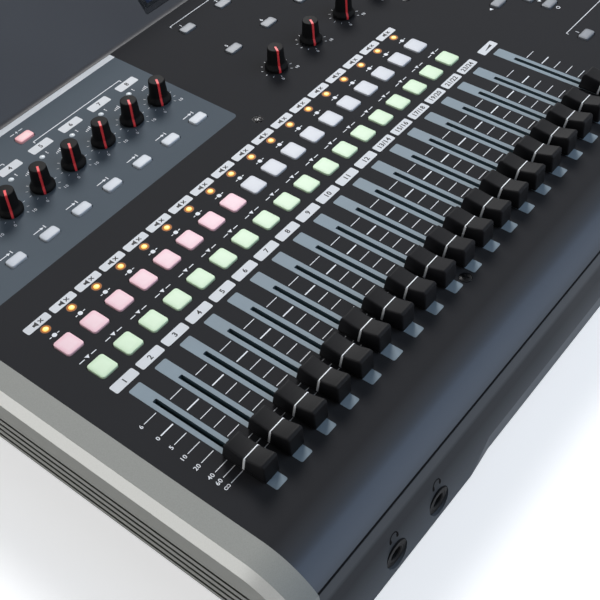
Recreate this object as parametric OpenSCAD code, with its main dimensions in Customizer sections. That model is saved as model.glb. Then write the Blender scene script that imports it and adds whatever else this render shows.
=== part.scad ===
// Desktop digital multitrack recorder.
// A flat deck carries eighteen channel faders and a master fader, an input section with trim knobs,
// the transport keys and a data wheel. A sloping hood at the rear holds the display.
// Origin: middle of the footprint, at table height. +X is right, +Y is to the rear, +Z is up.

/* [Case] */
// Width over both side cheeks
body_w = 514; // [505:1:550]
// Depth from the foot of the front skirt to the faces of the rear sockets
body_d = 340.5; // [336:0.5:360]
// Height of the display hood
body_h = 104; // [98:1:106]
// Height of the flat deck
deck_h = 56; // [54:1:60]
// Wall of the deck and of the display hood
shell_t = 2.4; // [2:0.1:3]
// Wall of the bottom tray
tray_t = 2.2; // [1.8:0.1:2.6]
// Thickness of the rear panel
rear_t = 2; // [1.5:0.1:3]
// How far the rear sockets stand out of the rear panel
socket_proud = 3.25; // [2.5:0.25:4]
// Height of the rubber feet
foot_h = 6; // [4:0.5:8]
// Radius of a foot
foot_r = 9; // [6:0.5:12]
// Distance of a foot's centre from the case's side
foot_side = 38; // [30:1:60]
// Distance of a foot's centre from the case's front or rear
foot_end = 30; // [24:1:50]

/* [Front] */
// Distance from the front edge to the start of the front roll
roll_start = 31; // [30:0.5:33]
// Radius of the front roll
roll_r = 33; // [31:0.5:34]
// Angle that the front roll turns through
roll_a = 50; // [46:1:52]
// Gap of the seam between the deck and the tray
seam_gap = 0.8; // [0.5:0.1:1.5]
// Lean of the front skirt from upright
skirt_a = 9.5; // [8:0.5:10]
// Wall of the front skirt
skirt_t = 2.6; // [2:0.1:3]
// Bevel along the skirt's top edge
skirt_bevel = 1; // [0.5:0.1:1.4]
// Distance from the deck's left side to the facet along the skirt's foot
facet_side = 97; // [90:1:120]
// Length of the facet's slanted end
facet_run = 16; // [8:1:30]
// Depth of the facet at the skirt's foot
facet_depth = 1.6; // [1:0.1:1.8]

/* [Display hood] */
// Distance from the phantom power keys back to the fold at the foot of the display slope
fold_gap = 16.9; // [14:0.1:20]
// Radius of the fold
fold_r = 4; // [2:0.5:6]
// Depth of the hood's top, from the display slope to the rear
hood_top = 12; // [11:0.5:16]
// Rounding of the hood's top edges
hood_r = 4; // [3:0.5:4.5]
// Height of the hood's rear lip
hood_lip = 8; // [6:0.5:12]
// Distance from the deck's left side to the middle of the display
display_side = 268.6; // [262:0.2:274]
// Width of the display window
display_w = 104; // [90:1:110]
// Distance of the display window from the slope's rounded edges
display_margin = 2.6; // [2:0.1:5]
// Thickness of the display window
window_t = 1.5; // [1:0.1:1.7]
// Width of the ledge that the window rests on
window_ledge = 3; // [2:0.5:4]
// Thickness of the display module
module_t = 6; // [4:0.5:8]
// Overlap of the display module round the window, on each side
module_rim = 2; // [1:0.5:2]

/* [Side cheeks] */
// Width of a cheek
cheek_w = 14.4; // [12:0.1:16]
// Chamfer along a cheek's outer top edge
cheek_chamfer = 3.9; // [3:0.1:5]
// Depth of a cheek below the deck
cheek_drop = 36; // [34:0.5:38]
// Number of grooves along a cheek's side
groove_count = 4; // [2:1:4]
// Distance between grooves
groove_pitch = 5; // [4:0.1:5.2]
// Height of a groove
groove_h = 2; // [1:0.1:2.5]
// Depth of a groove
groove_depth = 1.4; // [0.8:0.1:2]
// Distance from the deck down to the first groove's middle
groove_first = 17.5; // [16:0.5:18]

/* [Channel strip] */
// Distance from the deck's left side to the first channel's middle
channel_inset = 23.05; // [22:0.05:26]
// Distance between channels
channel_pitch = 15.2; // [15:0.05:15.5]
// Distance from the last channel to the master fader
master_gap = 20.3; // [18:0.1:22]
// Distance from the front edge to the row of select keys
select_d = 135; // [132:0.5:136]
// Distance from the select keys back to the record keys
rec_row = 20.2; // [18:0.1:22]
// Distance from the select keys back to the mute lamps
lamp_row = 34.4; // [33:0.1:38]
// Radius of a lamp lens
lamp_r = 1.5; // [1:0.1:1.6]
// Height of a lamp lens's crown above the deck
lamp_crown = 0.4; // [0.2:0.1:0.8]
// Gap round a lamp lens
lamp_clear = 0.15; // [0.1:0.05:0.3]

/* [Faders] */
// Travel of a fader
fader_travel = 45; // [40:1:46]
// Distance from the select keys forward to a cap's middle at its lowest place
fader_low = 79.6; // [78:0.1:82]
// How far channel six's cap rests above its lowest place
lift_six = 1.9; // [0:0.1:10]
// How far channel seven's cap rests above its lowest place
lift_seven = 1; // [0:0.1:10]
// Width of a fader's slot in the deck
slot_w = 2.1; // [2:0.1:2.6]
// Length of the slot past the lever's middle, at each end
slot_over = 5.4; // [4:0.1:6]
// Thickness of a fader's lever
lever_t = 1.2; // [0.8:0.1:1.3]
// Width of a fader's lever, along the slot
lever_w = 5; // [4:0.1:6]
// Width of a fader's cap
cap_w = 8.6; // [7:0.1:10]
// Length of a cap at its foot
cap_l = 22; // [18:0.5:24]
// Length of a cap at its top
cap_top_l = 20; // [16:0.5:21]
// Gap between a cap and the deck
cap_gap = 0.8; // [0.5:0.1:1.5]
// Height of a cap's front edge above the deck
cap_front_h = 11.3; // [10:0.1:13]
// Height of a cap's middle line above the deck
cap_mid_h = 8.8; // [7:0.1:9.5]
// Height of a cap's rear edge above the deck
cap_rear_h = 10.1; // [9.5:0.1:12]
// Width of a fader's body
fader_body_w = 9; // [8:0.1:10]
// Height of a fader's body
fader_body_h = 8; // [7.5:0.1:9]
// Wall of a fader's body
fader_wall = 0.8; // [0.6:0.1:1]
// Length of the carriage on a fader's lever
carriage_l = 7; // [6:0.1:8]
// Gap round the carriage
carriage_clear = 0.4; // [0.3:0.05:0.6]

/* [Input section] */
// Distance between inputs
input_pitch = 20.55; // [19.5:0.05:21]
// Distance from the select keys back to the source keys
source_row = 75.8; // [74:0.1:78]
// Distance from the select keys back to the trim knobs
trim_row = 102.5; // [100:0.1:104]
// Distance from the select keys back to the overload lamps
overload_row = 119.8; // [118:0.1:122]
// Distance from an input's middle to its overload lamp
overload_side = 5.3; // [4:0.1:6]
// Distance from the select keys back to the phantom power keys
phantom_row = 138.6; // [136:0.1:139]

/* [Knobs] */
// Radius of a knob's skirt
knob_r = 6.3; // [5.5:0.1:7]
// Height of a knob's skirt rim
knob_rim = 1.2; // [0.8:0.1:2]
// Height of the flare above the rim
knob_flare = 2.6; // [1.5:0.1:4]
// Radius of a knob above its flare
knob_waist_r = 4.8; // [4.4:0.1:5.2]
// Radius of a knob's top
knob_top_r = 4.3; // [3.8:0.1:4.4]
// Height of a knob
knob_h = 13.4; // [11:0.1:16]
// Gap between a knob and the deck
knob_gap = 0.6; // [0.4:0.1:1]
// Width of a knob's pointer line
pointer_w = 0.9; // [0.6:0.1:1.2]
// How far the pointer line stands out
pointer_proud = 0.15; // [0.1:0.05:0.3]
// Direction of the pointer at its lowest setting, from the right
pointer_a = 238; // [210:1:260]
// Radius of a knob's shaft
shaft_r = 2; // [1.5:0.1:2.5]
// Running clearance of a shaft, on the radius
shaft_clear = 0.1; // [0.05:0.01:0.15]
// Radius of a pot's bushing
bushing_r = 3.5; // [3.2:0.1:4]
// Gap round a bushing in the deck
bushing_clear = 0.3; // [0.2:0.05:0.5]
// Width of a pot's body
pot_w = 9.5; // [8.5:0.1:11]
// Distance from the deck's underside to a pot's body
pot_drop = 0.8; // [0.5:0.1:1.2]
// Radius of the data wheel
wheel_r = 28; // [24:0.5:30]
// Height of the data wheel
wheel_h = 8; // [6:0.5:12]
// Width of the data wheel's raised rim
wheel_rim = 4; // [2.5:0.5:6]
// Depth of the dish inside the rim
wheel_dish = 1.2; // [0.6:0.1:2]
// Radius of the finger hollow in the data wheel
dimple_r = 7; // [5:0.5:8]
// Depth of the finger hollow
dimple_depth = 2.5; // [1:0.1:3]

/* [Keys] */
// Width of a record or select key
key_w = 9.3; // [8:0.1:10]
// Depth of a record or select key
key_d = 10.4; // [9:0.1:11]
// Height of a record or select key above the deck
key_h = 0.8; // [0.5:0.1:2]
// Corner radius of a record or select key
key_r = 1.5; // [0.8:0.1:2.5]
// Width of a small key
small_w = 9.4; // [8:0.1:10]
// Depth of a small key
small_d = 5.7; // [5:0.1:6.5]
// Height of a small key above the deck
small_h = 1.1; // [0.6:0.1:2]
// Corner radius of a small key
small_r = 1.2; // [0.6:0.1:2]
// Gap between two transport keys
transport_gap = 5; // [4:0.5:8]
// Depth of a transport key
transport_d = 14; // [11:0.5:14.5]
// Height of a transport key above the deck
transport_h = 1.8; // [1:0.1:3]
// Corner radius of a transport key
transport_r = 2; // [1:0.1:4]
// Gap round a key in the deck
key_clear = 0.35; // [0.3:0.05:0.5]
// Travel of a key
key_travel = 0.9; // [0.5:0.1:1.2]
// How far a key's flange reaches under the deck
flange_w = 1; // [0.7:0.1:1.2]
// Thickness of a key's flange
flange_t = 1; // [0.7:0.1:1.2]
// Gap between a key's flange and what stops it
flange_gap = 0.3; // [0.2:0.05:0.4]
// Width of a switch under a key
switch_w = 4.5; // [3:0.1:5]
// Height of a switch under a key
switch_h = 3.2; // [2.5:0.1:3.5]

/* [Control section] */
// Distance from the master fader to the control section
control_gap = 24.85; // [20:0.05:30]
// Distance from the deck's right side to the control section
control_side = 8.6; // [5:0.1:12]
// Distance from the select keys forward to the transport keys
transport_row = 78; // [77:0.5:80]
// Distance from the select keys forward to the locate keys
locate_row = 50; // [48:0.5:54]
// Distance from the select keys back to the data wheel and the cursor keys
wheel_row = 5; // [2:0.5:8]
// Distance between cursor keys, front to rear
cursor_step = 12; // [10:0.2:13]
// Distance from the select keys back to the first row of menu keys
menu_row = 62; // [60:0.5:66]
// Distance between the two rows of menu keys
menu_step = 26; // [20:0.5:30]
// Distance from the select keys back to the knobs under the display
knob_row = 70; // [66:0.5:74]
// Distance from the select keys back to the view keys under the display
view_row = 100; // [96:0.5:104]
// Distance from the select keys back to the function keys under the display
function_row = 134; // [128:0.5:136]

/* [Sockets] */
// Distance from the panel board down to the input sockets' barrels
socket_drop = 2; // [1:0.1:3]
// Distance from the rear panel's left side to the first input socket
combo_side = 27.6; // [24:0.2:30]
// Distance between input sockets
combo_pitch = 30; // [28:0.2:30.4]
// Width of an input socket's flange
combo_w = 26; // [25.5:0.1:27]
// Height of an input socket's flange
combo_h = 31; // [28:0.5:33]
// Radius of an input socket's barrel
combo_r = 11.8; // [11:0.1:12]
// Depth of an input socket behind the rear panel
combo_depth = 22; // [18:0.5:24]
// Distance from the deck's right side to the row of small rear sockets
socket_side = 12.6; // [8:0.2:16]
// Radius of a jack's bore
jack_bore_r = 3.3; // [3.2:0.05:3.6]
// Depth of a jack's bore
jack_bore_l = 18; // [14:0.5:19]
// Width of a jack's body
jack_w = 13.6; // [12:0.2:14]
// Length of a jack's body behind its panel
jack_l = 20; // [18:0.5:24]
// Radius of a jack's barrel
jack_barrel_r = 4.7; // [4.5:0.1:5]
// Radius of a jack's nut
jack_nut_r = 6.5; // [6:0.1:6.8]
// Gap round a socket in its panel
socket_clear = 0.3; // [0.2:0.05:0.5]
// Distance from the deck's left side to the headphone jack at the front
phones_side = 73.8; // [70:0.2:78]
// Distance between the two front jacks
front_jack_pitch = 30; // [26:0.5:36]
// Distance from the deck's right side to the card slot's middle
card_side = 84; // [70:1:110]
// Width of the card slot
card_w = 26; // [24:0.5:30]
// Height of the card slot
card_slot_h = 3; // [2.5:0.1:3.5]
// Height of the card slot above the tray's floor
card_rise = 20; // [17:0.5:21]
// Depth of the card reader
card_l = 32; // [28:0.5:36]

/* [Boards and screws] */
// Thickness of a circuit board
board_t = 1.6; // [1.2:0.1:2]
// Height of the main board above the tray's floor
main_rise = 7; // [5:0.5:9]
// Width of the main board
main_w = 250; // [200:1:280]
// Depth of the main board
main_l = 170; // [140:1:190]
// Width of a chip on the main board
chip_w = 28; // [20:1:40]
// Distance of the main board's posts from its edges
post_inset = 8; // [6:0.5:12]
// Radius of a post
post_r = 4; // [3.5:0.1:4.2]
// Radius of a screw's shank
screw_r = 1.5; // [1.2:0.1:1.6]
// Radius of a screw's head
head_r = 2.8; // [2.4:0.1:2.9]
// Height of a screw's head
head_h = 1.1; // [0.8:0.1:1.2]
// Gap round a screw
screw_clear = 0.2; // [0.15:0.05:0.3]
// Distance from the deck's left side to the screw by the faders
front_screw_side = 151.95; // [151:0.05:153]
// Distance from a cap's middle at its lowest place forward to the front screws
front_screw_gap = 13.9; // [13.5:0.1:15]
// Distance from the deck's left side to the screw by the input section
rear_screw_side = 184.3; // [183.5:0.1:186]
// Distance from the select keys back to the rear screws
rear_screw_row = 50.5; // [49:0.1:52]
// Distance of the tray's side screws from the middle
tray_screw_x = 150; // [140:1:170]
// Distance of the tray's screws from the case's front or rear
tray_screw_end = 50; // [46:1:60]

/* [Hidden] */
$fn = 64;
channels = 18;
inputs = 8;
columns = 5;
outputs = 4;
data_count = 4;
roll_steps = 40;
fillet_steps = 14;
corner_steps = 5;
cut = 1;

front_y = -body_d / 2;
rear_y = body_d / 2 - socket_proud;
panel_l = -body_w / 2 + cheek_w;
panel_r = body_w / 2 - cheek_w;
panel_w = panel_r - panel_l;
deck_u = deck_h - shell_t;
floor_z = foot_h + tray_t;
board_z = deck_u - fader_body_h;
roll_y = front_y + roll_start;
cheek_z = deck_h - cheek_drop;
display_x = panel_l + display_side;
jack_z = floor_z + jack_w / 2;
card_x = panel_r - card_side;
reader_gap = 2 * skirt_t;
card_z = floor_z + card_rise;

select_y = front_y + select_d;
fold_y = select_y + phantom_row + fold_gap;
ridge_y = rear_y - hood_top;
slope_a = atan2(body_h - deck_h, ridge_y - fold_y);
slope_l = (body_h - deck_h) / sin(slope_a);
fold_trim = fold_r * tan(slope_a / 2);
ridge_trim = hood_r * tan(slope_a / 2);
display_l = slope_l - fold_trim - ridge_trim - 2 * display_margin;
split_y = fold_y - fold_trim;
fader_low_y = select_y - fader_low;
fader_mid_y = fader_low_y + fader_travel / 2;
socket_z = board_z - board_t - socket_drop - combo_r;
socket_l = panel_l + combo_side + (inputs - 0.5) * combo_pitch;
socket_pitch = (panel_r - socket_side - socket_l) / (outputs + data_count);
stem_z = board_z + switch_h + key_travel + flange_gap;
flange_top = deck_u - flange_gap;
pot_top = deck_u - pot_drop;
pot_floor = board_z + fader_wall;
control_l = panel_l + channel_inset + (channels - 1) * channel_pitch + master_gap + control_gap;
column_pitch = (panel_r - control_side - control_l) / columns;
transport_w = column_pitch - transport_gap;
wheel_x = control_l + 3.5 * column_pitch;
wheel_y = select_y + wheel_row;
cursor_x = control_l + column_pitch;

case_black = "#333438";
tray_grey = "#3d4147";
champagne = "#9a9b95";
board_green = "#1f4a35";
metal_grey = "#8b8f94";
knob_black = "#17181a";

function channel_x(n) = panel_l + channel_inset + (n - 1) * channel_pitch;
function fader_x(n) = n > channels ? channel_x(channels) + master_gap : channel_x(n);
function fader_rest(n) = fader_low_y + (n == 6 ? lift_six : n == 7 ? lift_seven : 0);
function input_x(n) = channel_x(1) + (n - 1) * input_pitch;
function column_x(n) = control_l + (n - 0.5) * column_pitch;
function soft_x(n) = display_x + (n - 2.5) * column_pitch;
function combo_x(n) = panel_l + combo_side + (n - 1) * combo_pitch;
function output_x(n) = socket_l + (n - 0.5) * socket_pitch;
function data_x(n) = output_x(outputs + n);
function skirt_y(z) = front_y + (z - foot_h) * tan(skirt_a);

function reverse(list) = [for (i = [len(list) - 1:-1:0]) list[i]];
function about(middle, half) = [middle - half, middle + half];
function span(start, from, to) = [start + from, start + to];
function arc(c, r, from, to, steps) =
    [for (i = [0:steps]) let (a = from + (to - from) * i / steps) c + r * [cos(a), sin(a)]];
function round_rect(w, d, r) =
    [for (q = [0:3], i = [0:corner_steps])
        let (a = 90 * (q + i / corner_steps), sx = q == 0 || q == 3 ? 1 : -1, sy = q < 2 ? 1 : -1)
        [sx * (w / 2 - r) + r * cos(a), sy * (d / 2 - r) + r * sin(a)]];

// Outline of the case seen from the side, as points [y, z], set in by a wall
function roll_end(in) = acos(roll_r * cos(roll_a) / (roll_r - in));
function roll_path(in) = arc([roll_y, deck_h - roll_r], roll_r - in, 90 + roll_end(in), 90, roll_steps);
function fold_path(in) = arc([split_y, deck_h + fold_r], fold_r + in, -90, slope_a - 90, fillet_steps);
function ridge_path(in) =
    arc([ridge_y + ridge_trim, body_h - hood_r], hood_r - in, 90 + slope_a, 90, fillet_steps);
function rear_path(in) = arc([rear_y - hood_r, body_h - hood_r], hood_r - in, 90, 0, fillet_steps);
function deck_path(in) = concat(roll_path(in), [[split_y, deck_h - in]]);
function hood_path(in) =
    concat(fold_path(in), ridge_path(in), rear_path(in), [[rear_y - in, body_h - hood_lip]]);
function crest_path(in) = concat(roll_path(in), fold_path(in), ridge_path(in), rear_path(in));
seam_z = roll_path(0)[0][1];
skirt_top = seam_z - seam_gap;

// Places of the small keys, as points [x, y]
input_key_places = concat(
    [for (n = [1:inputs]) [input_x(n), select_y + source_row]],
    [for (n = [1, 5]) [input_x(n), select_y + phantom_row]]);
menu_key_places = concat(
    [for (n = [1:4], row = [view_row, function_row]) [soft_x(n), select_y + row]],
    [for (n = [1:columns]) [column_x(n), select_y - locate_row]],
    [for (n = [1:columns], k = [0, 1]) [column_x(n), select_y + menu_row + k * menu_step]],
    [for (s = [[-1, 0], [1, 0], [0, 1], [0, -1], [0, -2]])
        [cursor_x + s[0] * column_pitch / 2, wheel_y + s[1] * cursor_step]],
    [[column_x(columns), select_y + phantom_row]]);
rec_places = [for (n = [1:channels]) [channel_x(n), select_y + rec_row]];
select_places = [for (n = [1:channels]) [channel_x(n), select_y]];
transport_places = [for (n = [1:columns]) [column_x(n), select_y - transport_row]];
small_places = concat(input_key_places, menu_key_places);
lamp_places = concat(
    [for (n = [1:channels]) [channel_x(n), select_y + lamp_row]],
    [for (n = [1:inputs]) [input_x(n) - overload_side, select_y + overload_row]]);
trim_places = [for (n = [1:inputs]) [input_x(n), select_y + trim_row]];
soft_places = [for (n = [1:4]) [soft_x(n), select_y + knob_row]];
wheel_place = [wheel_x, wheel_y];
pot_places = concat(trim_places, soft_places, [wheel_place]);
deck_screw_places = [
    [panel_l + front_screw_side, fader_low_y - front_screw_gap],
    [panel_r - front_screw_side, fader_low_y - front_screw_gap],
    [panel_l + rear_screw_side, select_y + rear_screw_row],
    [fader_x(channels + 1) + channel_pitch, select_y + rear_screw_row]];
tray_screw_places = [for (sx = [-1, 0, 1], sy = [-1, 1])
    [sx * tray_screw_x, sy * (body_d / 2 - tray_screw_end)]];
foot_places = [for (sx = [-1, 1], sy = [-1, 1])
    [sx * (panel_w / 2 - foot_side), sy * (body_d / 2 - foot_end)]];
main_x = about(0, main_w / 2);
main_y = about(0, main_l / 2);

// Shapes that several sub-parts use

// An outline of points [y, z], carried across from one x to another
module across(x0, x1) {
    translate([x0, 0, 0]) rotate([90, 0, 90]) linear_extrude(x1 - x0) children();
}

module block(x, y, z) {
    translate([x[0], y[0], z[0]]) cube([x[1] - x[0], y[1] - y[0], z[1] - z[0]]);
}

module post(r, z0, z1) {
    translate([0, 0, z0]) cylinder(r = r, h = z1 - z0);
}

// A round bar along Y, with its open end at y1
module bar_y(r, y0, y1) {
    translate([0, y1, 0]) rotate([90, 0, 0]) cylinder(r = r, h = y1 - y0);
}

module at(places) {
    for (p = places) translate([p[0], p[1], 0]) children();
}

module slab(w, d, r, z0, z1) {
    translate([0, 0, z0]) linear_extrude(z1 - z0) polygon(round_rect(w, d, r));
}

module key_hole(w, d, r) {
    slab(w + 2 * key_clear, d + 2 * key_clear, r + key_clear, deck_u - cut, deck_h + cut);
}

// A key: its cap, the flange that keeps it under the deck, and the stem over its switch
module key(w, d, r, h) {
    reach = 2 * (key_clear + flange_w);
    slab(w, d, r, flange_top - flange_t, deck_h + h);
    slab(w + reach, d + reach, r + reach / 2, flange_top - flange_t, flange_top);
    block(about(0, switch_w / 2), about(0, switch_w / 2), [stem_z, flange_top]);
}

module big_keys(places) {
    at(places) key(key_w, key_d, key_r, key_h);
}

module small_keys(places) {
    at(places) key(small_w, small_d, small_r, small_h);
}

module transport_key(n) {
    color("#d8dadd") at([transport_places[n - 1]]) key(transport_w, transport_d, transport_r, transport_h);
}

// The display slope's own frame: x across, y up the slope, z out of its face
module on_slope() {
    translate([display_x, fold_y, deck_h]) rotate([slope_a, 0, 0])
        translate([0, fold_trim + display_margin + display_l / 2, 0]) children();
}

// Case

module deck_panel() {
    color(case_black) difference() {
        union() {
            across(panel_l, panel_r) polygon(concat(deck_path(0), reverse(deck_path(shell_t))));
            at(deck_screw_places) post(post_r, board_z, deck_u + cut);
        }
        for (n = [1:channels + 1])
            block(about(fader_x(n), slot_w / 2), span(fader_low_y, -slot_over, fader_travel + slot_over),
                [deck_u - cut, deck_h + cut]);
        at(concat(rec_places, select_places)) key_hole(key_w, key_d, key_r);
        at(small_places) key_hole(small_w, small_d, small_r);
        at(transport_places) key_hole(transport_w, transport_d, transport_r);
        at(lamp_places) post(lamp_r + lamp_clear, deck_u - cut, deck_h + cut);
        at(pot_places) post(bushing_r + bushing_clear, deck_u - cut, deck_h + cut);
        at(deck_screw_places) {
            post(screw_r + screw_clear, board_z - cut, deck_h + cut);
            post(head_r + screw_clear, deck_h - head_h, deck_h + cut);
        }
    }
}

module display_hood() {
    color(case_black) difference() {
        across(panel_l, panel_r) polygon(concat(hood_path(0), reverse(hood_path(shell_t))));
        on_slope() {
            slab(display_w, display_l, small_r, -window_t, cut);
            slab(display_w - 2 * window_ledge, display_l - 2 * window_ledge, small_r, -shell_t - cut, cut);
        }
    }
}

module display_window() {
    color("#10161c", 0.6) on_slope() slab(display_w, display_l, small_r, -window_t, 0);
}

module display_module() {
    w = display_w + 2 * module_rim;
    l = display_l + 2 * module_rim;
    color("#23262a") on_slope()
        block(about(0, w / 2), about(0, l / 2), [-shell_t - module_t, -shell_t]);
}

module bottom_tray() {
    brow_z = skirt_top - skirt_bevel;
    brow = [[skirt_y(brow_z), brow_z], [skirt_y(skirt_top) + skirt_bevel, skirt_top]];
    skirt = concat([[front_y, foot_h]], brow, [[skirt_y(skirt_top) + skirt_t, skirt_top],
        [skirt_y(floor_z) + skirt_t, floor_z], [rear_y, floor_z], [rear_y, foot_h]]);
    side = concat([[front_y, foot_h]], brow, [[roll_y, skirt_top], [roll_y, deck_u],
        [split_y, deck_u], [split_y, socket_z], [rear_y, socket_z], [rear_y, foot_h]]);
    facet = [[panel_l + facet_side, front_y], [panel_l + facet_side + facet_run, front_y + facet_depth],
        [panel_r - facet_side - facet_run, front_y + facet_depth], [panel_r - facet_side, front_y],
        [panel_r - facet_side, front_y - cut], [panel_l + facet_side, front_y - cut]];
    color(tray_grey) difference() {
        union() {
            across(panel_l, panel_r) polygon(skirt);
            across(panel_l, panel_l + tray_t) polygon(side);
            across(panel_r - tray_t, panel_r) polygon(side);
            for (x = main_x + [post_inset, -post_inset], y = main_y + [post_inset, -post_inset])
                at([[x, y]]) post(post_r, foot_h, floor_z + main_rise);
            block(about(card_x, card_w / 2), span(skirt_y(card_z), reader_gap, card_l),
                [foot_h, card_z - card_slot_h]);
        }
        translate([0, 0, foot_h - cut]) linear_extrude(skirt_top - foot_h) polygon(facet);
        for (n = [0, 1])
            translate([panel_l + phones_side - n * front_jack_pitch, 0, jack_z])
                bar_y(jack_nut_r + socket_clear, front_y - cut, front_y + roll_start / 2);
        block(about(card_x, card_w / 2), span(front_y, -cut, roll_start / 2),
            about(card_z, card_slot_h / 2));
        at(tray_screw_places) post(screw_r + screw_clear, foot_h - cut, floor_z + cut);
    }
}

module rear_hole(x, r) {
    translate([x, 0, socket_z]) bar_y(r + socket_clear, rear_y - rear_t - cut, rear_y + cut);
}

module rear_panel() {
    color(tray_grey) difference() {
        block([panel_l + tray_t, panel_r - tray_t], [rear_y - rear_t, rear_y], [floor_z, body_h - hood_lip]);
        for (n = [1:inputs]) rear_hole(combo_x(n), combo_r);
        for (n = [1:outputs]) rear_hole(output_x(n), jack_barrel_r);
        for (n = [1:data_count]) rear_hole(data_x(n), jack_nut_r);
    }
}

// A cheek is one closed skin through three rings: the inner face, the edge of the flat top and the
// outer face, which is set in by the chamfer. A ring is the case's outline with a foot under each point.
function cheek_ring(x, in) =
    let (crest = crest_path(in), last = len(crest) - 1)
    concat([for (p = crest) [x, p[0], p[1]]],
        [for (i = [last:-1:0]) [x, i == 0 ? skirt_y(cheek_z) + in : crest[i][0], cheek_z]]);
function quad(a, b, c, d) = [[a, b, c], [a, c, d]];

module cheek() {
    flat_w = cheek_w - cheek_chamfer;
    rings = [cheek_ring(0, 0), cheek_ring(flat_w, 0), cheek_ring(cheek_w, cheek_chamfer)];
    n = len(rings[0]);
    skin = [for (k = [0, n], i = [0:n - 1])
        let (j = (i + 1) % n)
        each quad(k + i, k + j, k + n + j, k + n + i)];
    inner = [for (i = [0:n / 2 - 2]) each quad(n - 1 - i, n - 2 - i, i + 1, i)];
    outer = [for (i = [0:n / 2 - 2])
        let (a = 2 * n + i, b = 3 * n - 1 - i)
        each quad(a, a + 1, b - 1, b)];
    color(champagne) difference() {
        polyhedron(concat(rings[0], rings[1], rings[2]), concat(skin, inner, outer));
        for (k = [0:groove_count - 1])
            block([cheek_w - groove_depth, cheek_w + cut], [front_y, rear_y + cut],
                about(deck_h - groove_first - k * groove_pitch, groove_h / 2));
    }
}

module right_cheek() {
    translate([panel_r, 0, 0]) cheek();
}

module left_cheek() {
    mirror([1, 0, 0]) right_cheek();
}

module feet() {
    color("#1d1d1e") at(foot_places) cylinder(r1 = foot_r - cut, r2 = foot_r, h = foot_h);
}

module screws() {
    color(metal_grey) {
        at(deck_screw_places) {
            post(head_r, deck_h - head_h, deck_h);
            post(screw_r, board_z + fader_wall, deck_h - head_h);
        }
        at(tray_screw_places) {
            post(head_r, foot_h - head_h, foot_h);
            post(screw_r, foot_h - head_h, floor_z + main_rise / 2);
        }
    }
}

// Electronics

module main_board() {
    top = floor_z + main_rise + board_t;
    color(board_green) union() {
        block(main_x, main_y, [top - board_t, top]);
        for (k = [-1:1])
            block(about(k * main_w / 4, chip_w / 2), about(0, chip_w / 2),
                [top - board_t / 2, top + board_t]);
    }
}

// The board under the deck, with a switch under each key
module panel_board() {
    edge = post_r + cut;
    color(board_green) difference() {
        union() {
            block([channel_x(1) - fader_body_w, panel_r - edge],
                [fader_low_y - front_screw_gap - edge, split_y - edge], [board_z - board_t, board_z]);
            at(concat(rec_places, select_places, small_places, transport_places))
                block(about(0, switch_w / 2), about(0, switch_w / 2),
                    [board_z - board_t, board_z + switch_h]);
        }
        at(deck_screw_places) post(screw_r + screw_clear, board_z - board_t - cut, board_z + cut);
    }
}

// A slide pot's body: a hollow box with a slot for the lever
module fader_body() {
    half_l = (fader_travel + carriage_l) / 2 + 2 * carriage_clear;
    half_w = fader_body_w / 2;
    slot_l = (fader_travel + lever_w) / 2 + 2 * carriage_clear;
    difference() {
        block(about(0, half_w), about(0, half_l + fader_wall), [board_z, deck_u]);
        block(about(0, half_w - fader_wall), about(0, half_l),
            [board_z + fader_wall, deck_u - fader_wall]);
        block(about(0, slot_w / 2), about(0, slot_l), [deck_u - fader_wall - cut, deck_u + cut]);
    }
}

module fader_bodies() {
    color(metal_grey) for (n = [1:channels + 1]) translate([fader_x(n), fader_mid_y, 0]) fader_body();
}

// A rotary pot: its body on the board, its bushing through the deck and the bore for the knob's shaft
module knob_pots() {
    color(metal_grey) at(pot_places) difference() {
        union() {
            block(about(0, pot_w / 2), about(0, pot_w / 2), [board_z, pot_top]);
            post(bushing_r, board_z + fader_wall, deck_h);
        }
        post(shaft_r + shaft_clear, pot_floor, deck_h + cut);
    }
}

module lamps() {
    color("#f0c060") at(lamp_places) {
        post(lamp_r, board_z, deck_h);
        translate([0, 0, deck_h]) crown();
    }
}

// A shallow crown: the cap of a sphere as wide as the lamp
module crown() {
    ball_r = (lamp_r * lamp_r + lamp_crown * lamp_crown) / (2 * lamp_crown);
    intersection() {
        translate([0, 0, lamp_crown - ball_r]) sphere(r = ball_r);
        post(lamp_r, -cut / 2, lamp_crown + cut);
    }
}

// Sockets

// A jack with its face at y = 0, its nut outside a panel and its body behind it
module jack() {
    body_y = -socket_proud - rear_t;
    difference() {
        union() {
            bar_y(jack_nut_r, -socket_proud, 0);
            bar_y(jack_barrel_r, body_y - cut, -cut);
            block(about(0, jack_w / 2), [body_y - jack_l, body_y], about(0, jack_w / 2));
        }
        bar_y(jack_bore_r, -jack_bore_l, cut);
    }
}

module line_jacks() {
    color(knob_black) {
        for (n = [1:outputs]) translate([output_x(n), rear_y + socket_proud, socket_z]) jack();
        for (n = [0, 1])
            translate([panel_l + phones_side - n * front_jack_pitch, skirt_y(jack_z), jack_z])
                rotate([0, 0, 180]) jack();
    }
}

// An input socket takes a jack in its middle and three contacts round it
module combo_socket() {
    contact_r = jack_bore_r + (combo_r - jack_bore_r) / 2;
    difference() {
        union() {
            block(about(0, combo_w / 2), [-socket_proud, 0], about(0, combo_h / 2));
            bar_y(combo_r, -socket_proud - rear_t - combo_depth, -cut);
        }
        bar_y(jack_bore_r, -jack_bore_l, cut);
        for (a = [90, 210, 330])
            rotate([0, a, 0]) translate([contact_r, 0, 0]) bar_y(screw_r, -jack_bore_l / 2, cut);
    }
}

module combo_sockets() {
    color(knob_black) for (n = [1:inputs])
        translate([combo_x(n), rear_y + socket_proud, socket_z]) combo_socket();
}

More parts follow.
